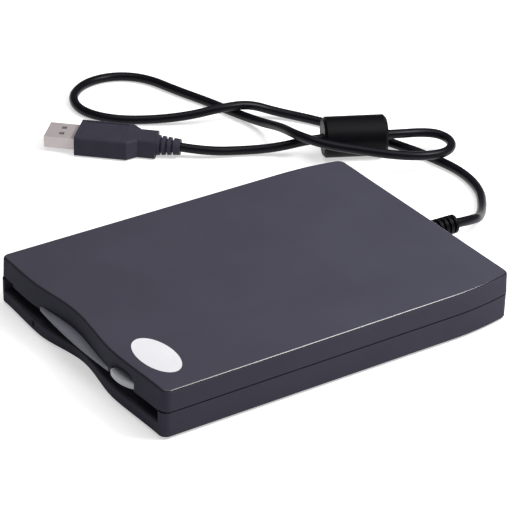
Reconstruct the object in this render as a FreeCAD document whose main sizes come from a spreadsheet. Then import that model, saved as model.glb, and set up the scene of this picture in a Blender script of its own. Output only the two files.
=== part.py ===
"""Slim external 3.5-inch floppy disk drive with a captive USB cable, in millimetres.

The frame: +Z up, +Y towards the rear, the origin on the table under the middle of the drive
(casing, feet and eject button, without the cable).  The drive is at rest with no disk in it: the
disk holder is up, ready for a disk, and the slide stands at the rear end of its travel.
"""
import FreeCAD, Part
import math
import os
import Sketcher
from FreeCAD import Placement, Rotation, Vector

SIZES = {
    # Casing: two moulded shells that meet at the parting line
    "casing_width": 103.4,
    "casing_depth": 139.4,
    "casing_height": 17.5,
    "foot_height": 0.6,
    "parting_height": 9.4,
    "lower_step": 0.1,
    "upper_draft": 0.3,
    "lower_draft": 0.1,
    "shell_wall": 2.2,
    "roof_wall": 1.5,
    "floor_wall": 1.4,
    "front_corner_radius": 2.8,
    "rear_corner_radius": 3.5,
    "roof_edge_radius": 0.9,
    "floor_edge_radius": 0.4,
    "taper_length": 26.0,
    "taper_inset": 3.0,
    "groove_height": 0.5,
    "groove_depth": 0.5,
    "notch_end_side": 9.0,
    "notch_height": 1.0,
    "notch_depth": 1.2,
    # The wave of the front: a hump each side of a shallow scoop
    "upper_setback": 0.4,
    "upper_front_wall": 3.75,
    "upper_left_hump": 0.3,
    "upper_left_offset": 33.0,
    "upper_right_hump": 1.0,
    "upper_right_offset": 23.0,
    "upper_scoop": 2.0,
    "upper_scoop_offset": 7.0,
    "lower_front_wall": 4.6,
    "lower_left_hump": 1.0,
    "lower_left_offset": 24.3,
    "lower_right_hump": 0.8,
    "lower_right_offset": 24.2,
    "lower_scoop": 2.5,
    "lower_scoop_offset": 1.0,
    "parting_scoop": 0.25,
    # Feet and screws
    "foot_radius": 5.0,
    "foot_recess": 0.4,
    "front_foot_side": 11.7,
    "front_foot_setback": 11.2,
    "rear_foot_side": 15.7,
    "rear_foot_inset": 13.5,
    "screw_radius": 1.2,
    "screw_head_radius": 2.1,
    "screw_head_height": 1.0,
    "screw_head_gap": 0.2,
    "boss_radius": 3.2,
    "case_screw_side": 7.7,
    "case_screw_inset": 7.6,
    "case_screw_length": 9.0,
    "lower_boss_height": 2.0,
    "frame_screw_inset": 4.4,
    "front_frame_screw_setback": 20.2,
    "rear_frame_screw_setback": 116.5,
    "standoff_radius": 2.5,
    # Disk slot, bezel and dust flap
    "disk_thickness": 3.3,
    "slot_side_gap": 0.2,
    "slot_height": 4.1,
    "slot_edge_radius": 0.9,
    "lip_left": 24.2,
    "lip_right": 20.0,
    "lip_bend": 245.0,
    "lip_height": 1.4,
    "lip_left_inset": 0.1,
    "lip_right_reach": 0.7,
    "bezel_setback": 3.9,
    "bezel_thickness": 0.95,
    "bezel_height": 4.4,
    "bezel_side": 0.2,
    "lug_width": 1.2,
    "lug_length": 1.75,
    "lug_drop": 0.5,
    "lug_rise": 1.4,
    "flap_setback": 5.7,
    "flap_axis_rise": 0.4,
    "flap_thickness": 0.6,
    "flap_front": 0.4,
    "flap_drop": 4.7,
    "flap_barrel_radius": 0.7,
    "flap_pin_radius": 0.5,
    "flap_spring_length": 2.4,
    "flap_spring_radius": 0.75,
    "wire_radius": 0.15,
    # Eject button, light window and label
    "button_width": 12.2,
    "button_height": 2.5,
    "button_offset": 28.2,
    "button_reach": 1.65,
    "button_bend": 13.7,
    "button_skew": 1.8,
    "button_rear": 4.7,
    "button_edge_radius": 0.8,
    "button_gap": 0.25,
    "dish_radius": 16.0,
    "dish_depth": 1.3,
    "dish_height": 5.6,
    "dish_round": 2.0,
    "window_offset": 27.5,
    "window_width": 1.4,
    "window_height": 2.0,
    "window_rise": 0.1,
    "window_reach": 0.15,
    "label_length": 23.2,
    "label_width": 12.2,
    "label_offset": 31.1,
    "label_setback": 10.55,
    "label_thickness": 0.15,
    # Sheet-metal frame of the mechanism
    "sheet": 0.6,
    "frame_side_gap": 1.5,
    "frame_setback": 7.2,
    "frame_length": 121.0,
    "frame_wall_height": 11.8,
    "frame_tail": 3.0,
    "frame_tail_inset": 8.5,
    "frame_tail_height": 6.4,
    "lid_thickness": 0.35,
    "lid_setback": 8.2,
    "lid_length": 98.0,
    "spring_offset": 33.0,
    "spring_radius": 1.3,
    "spring_height": 1.8,
    "spring_start": 11.8,
    "spring_length": 29.0,
    "tab_width": 5.0,
    "tab_margin": 0.4,
    # Slide plate
    "slide_travel": 4.0,
    "slide_height": 10.7,
    "slide_setback": 9.6,
    "slide_bridge_length": 62.6,
    "slide_side_width": 8.4,
    "slide_length": 94.6,
    "slide_side_gap": 0.5,
    "slide_flange_start": 15.0,
    "slide_flange_bottom": 4.8,
    "slide_window_width": 56.0,
    "slide_window_length": 30.0,
    "slide_window_setback": 22.0,
    "slide_tab_width": 9.6,
    "slide_tab_gap": 1.0,
    # Disk holder
    "holder_travel": 1.8,
    "holder_side_gap": 0.4,
    "holder_setback": 12.2,
    "holder_length": 92.0,
    "holder_inner_length": 87.0,
    "holder_inner_width": 54.0,
    "holder_lip": 4.7,
    "holder_disk_gap": 0.4,
    "holder_lip_gap": 0.1,
    "head_gap_width": 18.0,
    "head_gap_setback": 74.2,
    "pin_radius": 0.9,
    "pin_gap": 0.1,
    "pin_reach": 0.3,
    "pin_rise": 4.7,
    "front_pin_setback": 23.2,
    "rear_pin_setback": 90.2,
    # Shutter lever
    "lever_offset": 31.5,
    "lever_setback": 99.2,
    "lever_gap": 0.2,
    "lever_hub_radius": 3.0,
    "lever_reach_x": 4.5,
    "lever_reach_y": 18.1,
    "lever_arm_width": 3.0,
    "lever_tab_radius": 1.1,
    "lever_tab_drop": 3.8,
    "lever_pin_radius": 1.2,
    "running_gap": 0.05,
    # Spindle motor
    "spindle_setback": 54.7,
    "rotor_radius": 15.5,
    "rotor_opening": 17.0,
    "rotor_gap": 0.35,
    "rotor_thickness": 0.9,
    "hub_radius": 11.0,
    "hub_height": 0.45,
    "centre_pin_radius": 2.0,
    "centre_pin_height": 0.9,
    "magnet_outer_radius": 8.0,
    "magnet_inner_radius": 4.5,
    "magnet_depth": 0.5,
    "drive_pin_offset": 9.6,
    "drive_pin_radius": 1.2,
    "drive_pin_height": 0.8,
    "shaft_radius": 1.2,
    "bearing_radius": 3.5,
    "coil_count": 9,
    "coil_circle": 10.4,
    "coil_radius": 3.2,
    "coil_thickness": 0.25,
    # Main board, switches and lights
    "board_gap": 0.1,
    "board_thickness": 0.5,
    "board_side_gap": 0.9,
    "board_setback": 5.5,
    "board_length": 100.0,
    "board_tail_left": 34.0,
    "board_tail_right": 8.0,
    "board_tail_length": 135.7,
    "chip_size": 9.0,
    "chip_thickness": 1.0,
    "chip_offset": 24.0,
    "chip_setback": 24.2,
    "chip_opening_gap": 0.8,
    "led_depth": 1.3,
    "led_width": 2.0,
    "led_height": 1.6,
    "switch_width": 5.0,
    "switch_depth": 4.2,
    "switch_height": 1.2,
    "switch_setback": 13.7,
    "switch_inset": 8.9,
    "disk_switch_inset": 15.9,
    "plunger_radius": 0.8,
    "plunger_length": 1.8,
    "plunger_rise": 2.4,
    # Head carriage, heads and their drive
    "rod_radius": 1.2,
    "rod_offset": 13.0,
    "rod_rise": 3.9,
    "rod_front_setback": 101.1,
    "bracket_width": 5.0,
    "bracket_height": 5.0,
    "clip_length": 1.9,
    "carriage_width": 32.0,
    "carriage_setback": 117.0,
    "carriage_length": 11.2,
    "carriage_rise": 1.0,
    "carriage_height": 5.0,
    "low_arm_width": 14.0,
    "low_arm_setback": 88.2,
    "low_arm_gap": 0.1,
    "low_arm_thickness": 1.0,
    "head_setback": 94.2,
    "head_width": 6.0,
    "head_length": 8.0,
    "head_shoe_radius": 2.0,
    "lower_head_rise": 2.95,
    "follower_length": 3.0,
    "arm_width": 12.0,
    "arm_length": 30.5,
    "arm_tail": 2.0,
    "arm_rise": 1.4,
    "arm_barrel_radius": 1.5,
    "arm_pivot_setback": 121.2,
    "arm_pivot_rise": 7.6,
    "arm_pin_radius": 0.8,
    "ear_gap": 0.3,
    "ear_width": 2.2,
    "ear_length": 4.0,
    "upper_head_height": 2.15,
    "screw_offset": 22.0,
    "screw_rise": 5.4,
    "lead_radius": 1.5,
    "journal_radius": 0.75,
    "screw_bracket_setback": 102.0,
    "screw_bracket_width": 5.0,
    "screw_bracket_height": 7.4,
    "motor_radius": 4.7,
    "motor_setback": 122.2,
    "motor_foot_width": 8.0,
    # Interface board and the flat cable to it
    "link_board_side": 13.7,
    "link_board_length": 28.0,
    "link_board_rear_gap": 1.45,
    "link_board_thickness": 1.0,
    "link_board_drop": 1.8,
    "post_radius": 2.2,
    "post_side": 4.0,
    "post_inset": 4.0,
    "link_chip_size": 10.0,
    "link_chip_height": 1.2,
    "small_chip_size": 5.0,
    "flat_cable_width": 20.0,
    "flat_cable_thickness": 0.2,
    "flat_cable_offset": 21.0,
    "flat_cable_overlap": 2.6,
    "flat_cable_reach": 8.3,
    "roof_rib_width": 1.0,
    "roof_rib_offset": 20.0,
    # Cable with its strain relief, bead and plug
    "cord_radius": 1.75,
    "cord_sides": 10,
    "sleeve_groove": 0.9,
    "sleeve_rib": 1.25,
    "sleeve_groove_depth": 1.0,
    "relief_length": 13.9,
    "relief_radius": 3.75,
    "relief_end_radius": 3.4,
    "relief_neck_radius": 3.0,
    "relief_flange_radius": 4.6,
    "relief_flange": 1.2,
    "relief_rim": 1.1,
    "relief_grooves": 4,
    "bead_radius": 7.75,
    "bead_length": 24.0,
    "bead_chamfer": 1.0,
    "core_radius": 5.6,
    "core_length": 18.0,
    "plug_thickness": 8.0,
    "plug_shell_length": 12.0,
    "plug_shell_width": 12.0,
    "plug_shell_height": 4.5,
    "plug_shell_wall": 0.3,
    "plug_shell_root": 4.0,
    "latch_hole": 2.0,
    "latch_offset": 2.4,
    "plug_grip_width": 16.5,
    "plug_grip_length": 20.0,
    "plug_shoulder": 3.5,
    "plug_neck_width": 10.0,
    "plug_neck_length": 6.5,
    "plug_edge_radius": 1.4,
    "plug_panel_depth": 0.25,
    "plug_panel_border": 1.9,
    "plug_tail_length": 9.0,
    "plug_tail_grooves": 3,
    "plug_tail_plain": 1.35,
    "plug_tail_radius": 4.0,
    "plug_tail_end_radius": 3.0,
    "tongue_width": 11.2,
    "tongue_thickness": 1.8,
    "tongue_setback": 1.2,
    "tongue_bevel": 0.6,
    "contact_count": 4,
    "contact_width": 1.0,
    "contact_pitch": 2.25,
    "contact_length": 8.0,
    "contact_thickness": 0.12,
}

SHEET = "Sizes"
OVERSHOOT = 1.0  # how far a cutting tool runs past the face that it opens
VOLUME_MATCH = 0.02  # largest error allowed between a tube and its section times its length
TANGENT_SHARE = 0.45  # share of the shorter run that a bend of the cord takes up
WAVE_DEGREE = 3

CORD_ROUTE = [
    (0, 84.425, 9.4), (0, 93.4, 8.6), (-5.1, 100.5, 5.2), (-14.4, 109.2, 2.8), (-26.8, 117.9, 1.75),
    (-42.1, 121.1, 1.75), (-59, 117.9, 1.75), (-75.8, 112.5, 1.75), (-93.7, 105.5, 1.75),
    (-108.5, 97.5, 1.75), (-118.2, 89.5, 2.6), (-123, 80.4, 6.2), (-125.3, 69.4, 6.4),
    (-131.2, 57.4, 3.4), (-139.1, 44.7, 1.75), (-147, 33, 1.75), (-158.9, 26.9, 1.75),
    (-170.9, 29.5, 1.75), (-178.6, 38.1, 1.75), (-180.7, 48.1, 1.75), (-177.6, 57.6, 1.75),
    (-169.6, 64.4, 1.75), (-155.2, 68.1, 1.75), (-140.3, 73.1, 1.75), (-125.9, 76.9, 1.75),
    (-111.4, 78.9, 3.4), (-97.5, 77.7, 7.8), (-84.1, 75.7, 10.6), (-73, 80.4, 10.2),
    (-65.4, 90.5, 8.6), (-57.1, 99.7, 7.7), (-51.4, 108.3, 7.2), (-48.9, 117.9, 6.9),
    (-52.3, 124.8, 6.7), (-59.4, 127.5, 6.7), (-66.1, 124.2, 7), (-70.9, 109.3, 7.75),
    (-83.2, 84.2, 7.6), (-91.4, 72.2, 3.2), (-98.1, 62.4, 1.75), (-103.4, 48.2, 2.8),
    (-109.8, 40.4, 4),
]
BEAD_START = Vector(-71.7, 107.7, 7.75)
BEAD_HEADING = Vector(-0.441, -0.897, 0)
PLUG_TIP = Vector(-144.8, 3.8, 4)
PLUG_HEADING = Vector(0.691, 0.723, 0)


class Size:
    """A number together with the sheet expression that gives it."""

    def __init__(self, value, text):
        self.value = value
        self.text = text

    def __add__(self, other):
        other = as_size(other)
        return Size(self.value + other.value, f"({self.text} + {other.text})")

    def __sub__(self, other):
        other = as_size(other)
        return Size(self.value - other.value, f"({self.text} - {other.text})")

    def __mul__(self, other):
        other = as_size(other)
        return Size(self.value * other.value, f"({self.text} * {other.text})")

    def __truediv__(self, other):
        other = as_size(other)
        return Size(self.value / other.value, f"({self.text} / {other.text})")

    def __neg__(self):
        return Size(-self.value, f"(-{self.text})")

    def __radd__(self, other):
        return as_size(other) + self

    def __rsub__(self, other):
        return as_size(other) - self

    def __rmul__(self, other):
        return as_size(other) * self


def as_size(number):
    """A plain number as a size, a size as it is."""
    if isinstance(number, Size):
        return number
    return Size(float(number), f"({float(number)})")


def root(size):
    """The square root of a size."""
    return Size(math.sqrt(size.value), f"sqrt({size.text})")


def slope_angle(rise, run):
    """The angle in degrees of a slope."""
    return Size(math.degrees(math.atan(rise.value / run.value)), f"atan({rise.text} / {run.text})")


class Sheet:
    """The driving dimensions, each one a cell with an alias and an attribute of this object."""

    def __init__(self, document, sizes):
        cells = document.addObject("Spreadsheet::Sheet", SHEET)
        for row, (alias, number) in enumerate(sizes.items(), start=1):
            cells.set(f"A{row}", alias)
            cells.set(f"B{row}", str(number))
            cells.setAlias(f"B{row}", alias)
            setattr(self, alias, Size(number, f"{SHEET}.{alias}"))
        document.recompute()


DOC = FreeCAD.newDocument("FloppyDrive")
S = Sheet(DOC, SIZES)
NODES = {}

# Levels and stations that more than one piece needs
FRONT = S.button_reach - (S.casing_depth + S.button_reach) / 2
REAR = FRONT + S.casing_depth
HALF_WIDTH = S.casing_width / 2
PARTING = S.parting_height
FLOOR = S.foot_height + S.floor_wall
CEILING = S.casing_height - S.roof_wall
CAVITY_REAR = REAR - S.shell_wall
SLOT_BOTTOM = PARTING - S.slot_height
BOARD_BOTTOM = FLOOR + S.board_gap
BOARD_TOP = BOARD_BOTTOM + S.board_thickness
FRAME_TOP = BOARD_TOP + S.sheet
FRAME_HALF = HALF_WIDTH - S.shell_wall - S.frame_side_gap
SLIDE_HALF = FRAME_HALF - S.sheet - S.slide_side_gap
BEZEL_HALF = FRAME_HALF + S.bezel_side
SLOT_HALF = BEZEL_HALF + S.slot_side_gap
NOTCH_END = S.notch_end_side - HALF_WIDTH
FLAP_HALF = BEZEL_HALF - S.lug_width - S.pin_gap
FRAME_SCREW_X = FRAME_HALF - S.frame_screw_inset
FRAME_FRONT = FRONT + S.frame_setback
FRAME_REAR = FRAME_FRONT + S.frame_length
TAIL_REAR = FRAME_REAR + S.frame_tail
WALL_TOP = BOARD_TOP + S.frame_wall_height
SPINDLE_Y = FRONT + S.spindle_setback
FLAP_Y = FRONT + S.flap_setback
FLAP_Z = PARTING + S.flap_axis_rise
BEZEL_FRONT = FRONT + S.bezel_setback
BEZEL_BACK = BEZEL_FRONT + S.bezel_thickness
BUTTON_TIP = FRONT - S.button_reach
SLIDE_TOP = S.slide_height + S.sheet
LIP_LOW = FRAME_TOP + S.holder_lip_gap + S.holder_travel
LIP_TOP = LIP_LOW + S.sheet
HOLDER_LOW = LIP_TOP + S.disk_thickness + S.holder_disk_gap
HOLDER_TOP = HOLDER_LOW + S.sheet
HOLDER_FRONT = FRONT + S.holder_setback
HOLDER_HALF = SLIDE_HALF - S.sheet - S.holder_side_gap
PIN_Z = FRAME_TOP + S.pin_rise
LEVER_Y = FRONT + S.lever_setback
LEVER_LOW = HOLDER_TOP + S.lever_gap
ROD_Z = BOARD_TOP + S.rod_rise
ROD_FRONT = FRONT + S.rod_front_setback
CARRIAGE_FRONT = FRONT + S.carriage_setback
CARRIAGE_LOW = BOARD_TOP + S.carriage_rise
CARRIAGE_TOP = CARRIAGE_LOW + S.carriage_height
HEAD_Y = FRONT + S.head_setback
ARM_Y = FRONT + S.arm_pivot_setback
ARM_Z = BOARD_TOP + S.arm_pivot_rise
ARM_LOW = ARM_Z + S.arm_rise
LEAD_Z = BOARD_TOP + S.screw_rise
MOTOR_FRONT = FRONT + S.motor_setback
SWITCH_Y = FRONT + S.switch_setback
LINK_TOP = CEILING - S.link_board_drop
LINK_LOW = LINK_TOP - S.link_board_thickness
LINK_REAR = CAVITY_REAR - S.link_board_rear_gap
LINK_FRONT = LINK_REAR - S.link_board_length
LINK_HALF = HALF_WIDTH - S.link_board_side
SWITCH_X = HOLDER_HALF - S.switch_inset
DISK_SWITCH_X = HOLDER_HALF - S.disk_switch_inset


# ---- Drawing helpers ----

def bind(item, name, value):
    """Ties one property of an object to the sheet."""
    item.setExpression(name, as_size(value).text)


def place(item, x, y, z):
    """Puts an object at a point that follows the sheet."""
    for axis, value in zip("xyz", (x, y, z)):
        bind(item, f".Placement.Base.{axis}", value)
    return item


def box(x, y, z):
    """A block between pairs of coordinates."""
    block = DOC.addObject("Part::Box", "Block")
    for name, (low, high) in zip(("Length", "Width", "Height"), (x, y, z)):
        bind(block, name, as_size(high) - low)
    return place(block, x[0], y[0], z[0])


def rod(radius, x, y, z):
    """A cylinder; the coordinate that is a pair gives its direction and its ends."""
    cylinder = DOC.addObject("Part::Cylinder", "Rod")
    bind(cylinder, "Radius", radius)
    if isinstance(x, tuple):
        turn, ends = Rotation(Vector(0, 1, 0), 90), x
        start = (x[0], y, z)
    elif isinstance(y, tuple):
        turn, ends = Rotation(Vector(1, 0, 0), -90), y
        start = (x, y[0], z)
    else:
        turn, ends = Rotation(), z
        start = (x, y, z[0])
    cylinder.Placement = Placement(Vector(), turn)
    bind(cylinder, "Height", as_size(ends[1]) - ends[0])
    return place(cylinder, *start)


def join(first, *others):
    """One solid of several that touch."""
    union = DOC.addObject("Part::MultiFuse", "Join")
    union.Shapes = [first, *others]
    union.Refine = True
    return union


def group(*shapes):
    """Separate solids under one name."""
    bundle = DOC.addObject("Part::Compound", "Group")
    bundle.Links = list(shapes)
    return bundle


def cut(base, *tools):
    """A solid with the tools taken out of it."""
    difference = DOC.addObject("Part::Cut", "Cut")
    difference.Base = base
    difference.Tool = tools[0] if len(tools) == 1 else join(*tools)
    difference.Refine = True
    return difference


def overlap(first, second):
    """What two solids share."""
    common = DOC.addObject("Part::Common", "Overlap")
    common.Base = first
    common.Tool = second
    return common


def ring(outer, inner, x, y, z):
    """A tube between two radii."""
    return cut(rod(outer, x, y, z), rod(inner, x, y, z))


def new_body():
    """An empty body."""
    return DOC.addObject("PartDesign::Body", "Body")


def sketch_on(body, role, offset=0):
    """An empty sketch, parallel to one of the body's own planes."""
    sketch = body.newObject("Sketcher::SketchObject", "Outline")
    plane = next(part for part in body.Origin.OriginFeatures if part.Role == role)
    sketch.AttachmentSupport = [(plane, "")]
    sketch.MapMode = "FlatFace"
    bind(sketch, "AttachmentOffset.Base.z", offset)
    return sketch


def line_to(x, y):
    """A straight edge of an outline."""
    return {"end": (as_size(x), as_size(y))}


def arc_to(x, y, radius, turn=1):
    """A round edge of an outline, turning left (1) or right (-1)."""
    return {"end": (as_size(x), as_size(y)), "radius": as_size(radius), "turn": turn}


def wave_to(x, y, crests):
    """A smooth edge through crests and troughs, level at each of them and at its ends."""
    return {"end": (as_size(x), as_size(y)), "crests": crests}


def flat(point):
    """A pair of sizes as a point of the sketch."""
    return Vector(as_size(point[0]).value, as_size(point[1]).value, 0)


def wave_curve(points):
    """A smooth curve, level at each point, with handles a third of the way to the next one."""
    poles = [points[0]]
    for here, following in zip(points, points[1:]):
        handle = Vector((following.x - here.x) / WAVE_DEGREE, 0, 0)
        poles += [here + handle, following - handle]
    poles.append(points[-1])
    curve = Part.BSplineCurve()
    ends = [WAVE_DEGREE + 1]
    joints = [WAVE_DEGREE - 1] * (len(points) - 2)
    stations = [point.x for point in points]
    curve.buildFromPolesMultsKnots(poles, ends + joints + ends, stations, False, WAVE_DEGREE)
    return curve


def edge_geometry(start, edge):
    """The sketch geometry of one edge, and which of its ends comes first."""
    begin = flat(start)
    end = flat(edge["end"])
    if "radius" in edge:
        chord = end - begin
        left = Vector(-chord.y, chord.x, 0).normalize() * edge["turn"]
        radius = edge["radius"].value
        centre = (begin + end) * 0.5 + left * math.sqrt(radius ** 2 - (chord.Length / 2) ** 2)
        middle = centre - left * radius
        if edge["turn"] > 0:
            return Part.Arc(begin, middle, end), 1
        return Part.Arc(end, middle, begin), 2
    if "crests" in edge:
        return wave_curve([begin, *[flat(point) for point in edge["crests"]], end]), 1
    return Part.LineSegment(begin, end), 1


def draw(sketch, edges):
    """Draws a closed outline whose corners and radii follow the sheet."""
    start = edges[-1]["end"]
    first = sketch.GeometryCount
    firsts = []
    for edge in edges:
        geometry, first_end = edge_geometry(start, edge)
        sketch.addGeometry(geometry, False)
        firsts.append(first_end)
        start = edge["end"]
    constraints = []
    values = []
    for index, edge in enumerate(edges):
        following = (index + 1) % len(edges)
        last_end = 3 - firsts[index]
        constraints.append(Sketcher.Constraint(
            "Coincident", first + index, last_end, first + following, firsts[following]))
        values.append(None)
        for kind, value in zip(("DistanceX", "DistanceY"), edge["end"]):
            constraints.append(Sketcher.Constraint(kind, first + index, last_end, value.value))
            values.append(value)
        if "radius" in edge:
            constraints.append(Sketcher.Constraint("Radius", first + index, edge["radius"].value))
            values.append(edge["radius"])
    for number, value in zip(sketch.addConstraint(constraints), values):
        if value is not None:
            bind(sketch, f"Constraints[{number}]", value)
    return sketch


def polygon(sketch, corners):
    """Draws a closed outline of straight edges."""
    return draw(sketch, [line_to(*corner) for corner in corners])


def extrude(body, kind, sketch, length, reverse=False):
    """Pads or pockets a sketch; reverse turns the feature's own direction round."""
    feature = body.newObject(f"PartDesign::{kind}", kind)
    feature.Profile = sketch
    feature.Reversed = reverse
    bind(feature, "Length", length)
    return feature


def prism(role, corners, low, high):
    """A body of one outline, padded between two levels of the axis across its plane."""
    body = new_body()
    offset = -as_size(high) if role == "XZ_Plane" else low
    sketch = polygon(sketch_on(body, role, offset), corners)
    extrude(body, "Pad", sketch, as_size(high) - low)
    return body


def lathe(role, axis, corners):
    """A body turned about one of its sketch's axes."""
    body = new_body()
    sketch = polygon(sketch_on(body, role), corners)
    turned = body.newObject("PartDesign::Revolution", "Turn")
    turned.Profile = sketch
    turned.ReferenceAxis = (sketch, [axis])
    turned.Angle = 360
    return body


def loft(body, high, low):
    """A solid between two outlines, lofted downwards so that its faces point outwards."""
    feature = body.newObject("PartDesign::AdditiveLoft", "Shell")
    feature.Profile = high
    feature.Sections = [low]
    return feature


def fillet(body, radius, wanted):
    """Rounds the edges of a body that the test picks."""
    DOC.recompute()
    tip = body.Tip
    names = [f"Edge{number}" for number, edge in enumerate(tip.Shape.Edges, start=1) if wanted(edge)]
    rounding = body.newObject("PartDesign::Fillet", "Rounding")
    rounding.Base = (tip, names)
    bind(rounding, "Radius", radius)
    return rounding


def lies_at(edge, axis, level):
    """Whether an edge lies in the plane at one level of an axis."""
    low = getattr(edge.BoundBox, f"{axis}Min")
    high = getattr(edge.BoundBox, f"{axis}Max")
    return abs(low - level.value) < 1e-3 and abs(high - level.value) < 1e-3


def mirrored(make):
    """A piece made on the right and again on the left."""
    return [make(1), make(-1)]


def corners_of(offset, front, rear):
    """Four points, mirrored about the middle."""
    return [(offset * side, y) for side in (1, -1) for y in (front, rear)]


def node(name, shape):
    """Names the finished piece."""
    shape.Label = name
    NODES[name] = shape
    return shape


# ---- Casing ----

def casing_outline(sketch, inset, setback=0, crests=()):
    """The casing's outline from above, drawn in by an inset, with the front's crests and troughs."""
    corner = S.front_corner_radius
    heel = S.rear_corner_radius
    nose = FRONT + setback
    front = nose + inset
    side = HALF_WIDTH - inset
    shoulder = REAR - S.taper_length
    bend = (S.taper_length * S.taper_length + S.taper_inset * S.taper_inset) / (2 * S.taper_inset)
    rise = S.taper_length - heel
    heel_x = HALF_WIDTH - bend + root((bend - heel) * (bend - heel) - rise * rise)
    share = bend / (bend - heel)
    lean_x = (heel_x - (HALF_WIDTH - bend)) * share - (bend - HALF_WIDTH)
    lean_y = shoulder + rise * share
    slip_x = (heel_x - (HALF_WIDTH - bend)) / (bend - heel) * inset
    slip_y = rise / (bend - heel) * inset
    wave = [(x, front + depth) for x, depth in crests]
    front_end = HALF_WIDTH - corner
    front_edge = wave_to(front_end, front, wave) if wave else line_to(front_end, front)
    return draw(sketch, [
        front_edge,
        arc_to(side, nose + corner, corner - inset),
        line_to(side, shoulder),
        arc_to(lean_x - slip_x, lean_y - slip_y, bend - inset),
        arc_to(heel_x, REAR - inset, heel - inset),
        line_to(-heel_x, REAR - inset),
        arc_to(slip_x - lean_x, lean_y - slip_y, heel - inset),
        arc_to(-side, shoulder, bend - inset),
        line_to(-side, nose + corner),
        arc_to(-front_end, front, corner - inset),
    ])


def upper_outline(sketch, inset):
    """The upper shell's outline with its wave."""
    return casing_outline(sketch, inset, S.upper_setback, [
        (-S.upper_left_offset, -S.upper_left_hump),
        (-S.upper_scoop_offset, S.upper_scoop),
        (S.upper_right_offset, -S.upper_right_hump),
    ])


def lower_outline(sketch, inset, scoop):
    """The lower shell's outline with its wave, whose scoop deepens towards the floor."""
    return casing_outline(sketch, inset, 0, [
        (-S.lower_left_offset, -S.lower_left_hump),
        (-S.lower_scoop_offset, scoop),
        (S.lower_right_offset, -S.lower_right_hump),
    ])


def upper_shell():
    """The upper moulding: drafted sides, rounded roof edge and hollow."""
    body = new_body()
    low = upper_outline(sketch_on(body, "XY_Plane", PARTING), as_size(0))
    high = upper_outline(sketch_on(body, "XY_Plane", S.casing_height), S.upper_draft)
    loft(body, high, low)
    fillet(body, S.roof_edge_radius, lambda edge: lies_at(edge, "Z", S.casing_height))
    hollow = casing_outline(sketch_on(body, "XY_Plane", PARTING), S.shell_wall,
                            S.upper_front_wall - S.shell_wall)
    extrude(body, "Pocket", hollow, CEILING - PARTING, reverse=True)
    return body


def shadow_groove():
    """The groove round the parting line, left out over the disk slot."""
    body = new_body()
    outline = casing_outline(sketch_on(body, "XY_Plane", PARTING - OVERSHOOT), -OVERSHOOT)
    upper_outline(outline, S.groove_depth)
    extrude(body, "Pad", outline, S.groove_height + OVERSHOOT)
    over_slot = box((NOTCH_END, SLOT_HALF), (BUTTON_TIP - OVERSHOOT, BEZEL_FRONT),
                    (PARTING - OVERSHOOT * 2, PARTING + S.groove_height + OVERSHOOT))
    return cut(body, over_slot)


def corner_notch():
    """The higher notch between the left front corner and the slot's upper edge."""
    return box((-HALF_WIDTH - OVERSHOOT, NOTCH_END),
               (BUTTON_TIP - OVERSHOOT, FRONT + S.notch_depth),
               (PARTING - OVERSHOOT, PARTING + S.notch_height))


def lower_shell():
    """The lower moulding up to the parting line, with the disk slot and its round lead-in."""
    body = new_body()
    low_inset = S.lower_step + S.lower_draft
    low = lower_outline(sketch_on(body, "XY_Plane", S.foot_height), low_inset, S.lower_scoop)
    high = lower_outline(sketch_on(body, "XY_Plane", PARTING), S.lower_step, S.parting_scoop)
    loft(body, high, low)
    fillet(body, S.floor_edge_radius, lambda edge: lies_at(edge, "Z", S.foot_height))
    hollow = casing_outline(sketch_on(body, "XY_Plane", FLOOR), S.shell_wall,
                            S.lower_front_wall - S.shell_wall)
    extrude(body, "Pocket", hollow, PARTING - FLOOR, reverse=True)
    wall_back = FRONT + S.lower_front_wall + OVERSHOOT
    slot = polygon(sketch_on(body, "XY_Plane", SLOT_BOTTOM), [
        (-SLOT_HALF, BUTTON_TIP - OVERSHOOT), (SLOT_HALF, BUTTON_TIP - OVERSHOOT),
        (SLOT_HALF, wall_back), (-SLOT_HALF, wall_back),
    ])
    extrude(body, "Pocket", slot, PARTING - SLOT_BOTTOM, reverse=True)
    fillet(body, S.slot_edge_radius,
           lambda edge: lies_at(edge, "Z", SLOT_BOTTOM)
           and edge.BoundBox.YMax < BEZEL_FRONT.value)
    return body


def lip_block(gap, low, high):
    """The lip between two levels: a bowed front edge across the scoop."""
    back = BEZEL_FRONT + S.running_gap
    left = -S.lip_left - gap
    right = S.lip_right + gap
    body = new_body()
    outline = draw(sketch_on(body, "XY_Plane", low), [
        arc_to(right, FRONT - S.lip_right_reach, S.lip_bend),
        line_to(right, back),
        line_to(left, back),
        line_to(left, FRONT + S.lip_left_inset),
    ])
    extrude(body, "Pad", outline, as_size(high) - low)
    return body


def dish():
    """The hollow above the button: a round cutter with a soft upper edge."""
    y = FRONT + S.dish_depth - S.dish_radius
    brim = PARTING + S.dish_height
    core = S.dish_radius - S.dish_round
    round_edge = DOC.addObject("Part::Torus", "Edge")
    bind(round_edge, "Radius1", core)
    bind(round_edge, "Radius2", S.dish_round)
    place(round_edge, S.button_offset, y, brim - S.dish_round)
    return join(
        rod(S.dish_radius, S.button_offset, y, (PARTING - OVERSHOOT, brim - S.dish_round)),
        rod(core, S.button_offset, y, (PARTING - OVERSHOOT, brim)),
        round_edge,
    )


def cable_notch():
    """The round way through the rear walls for the strain relief."""
    return rod(S.relief_neck_radius, 0, (CAVITY_REAR - OVERSHOOT, REAR + OVERSHOOT), PARTING)


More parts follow.
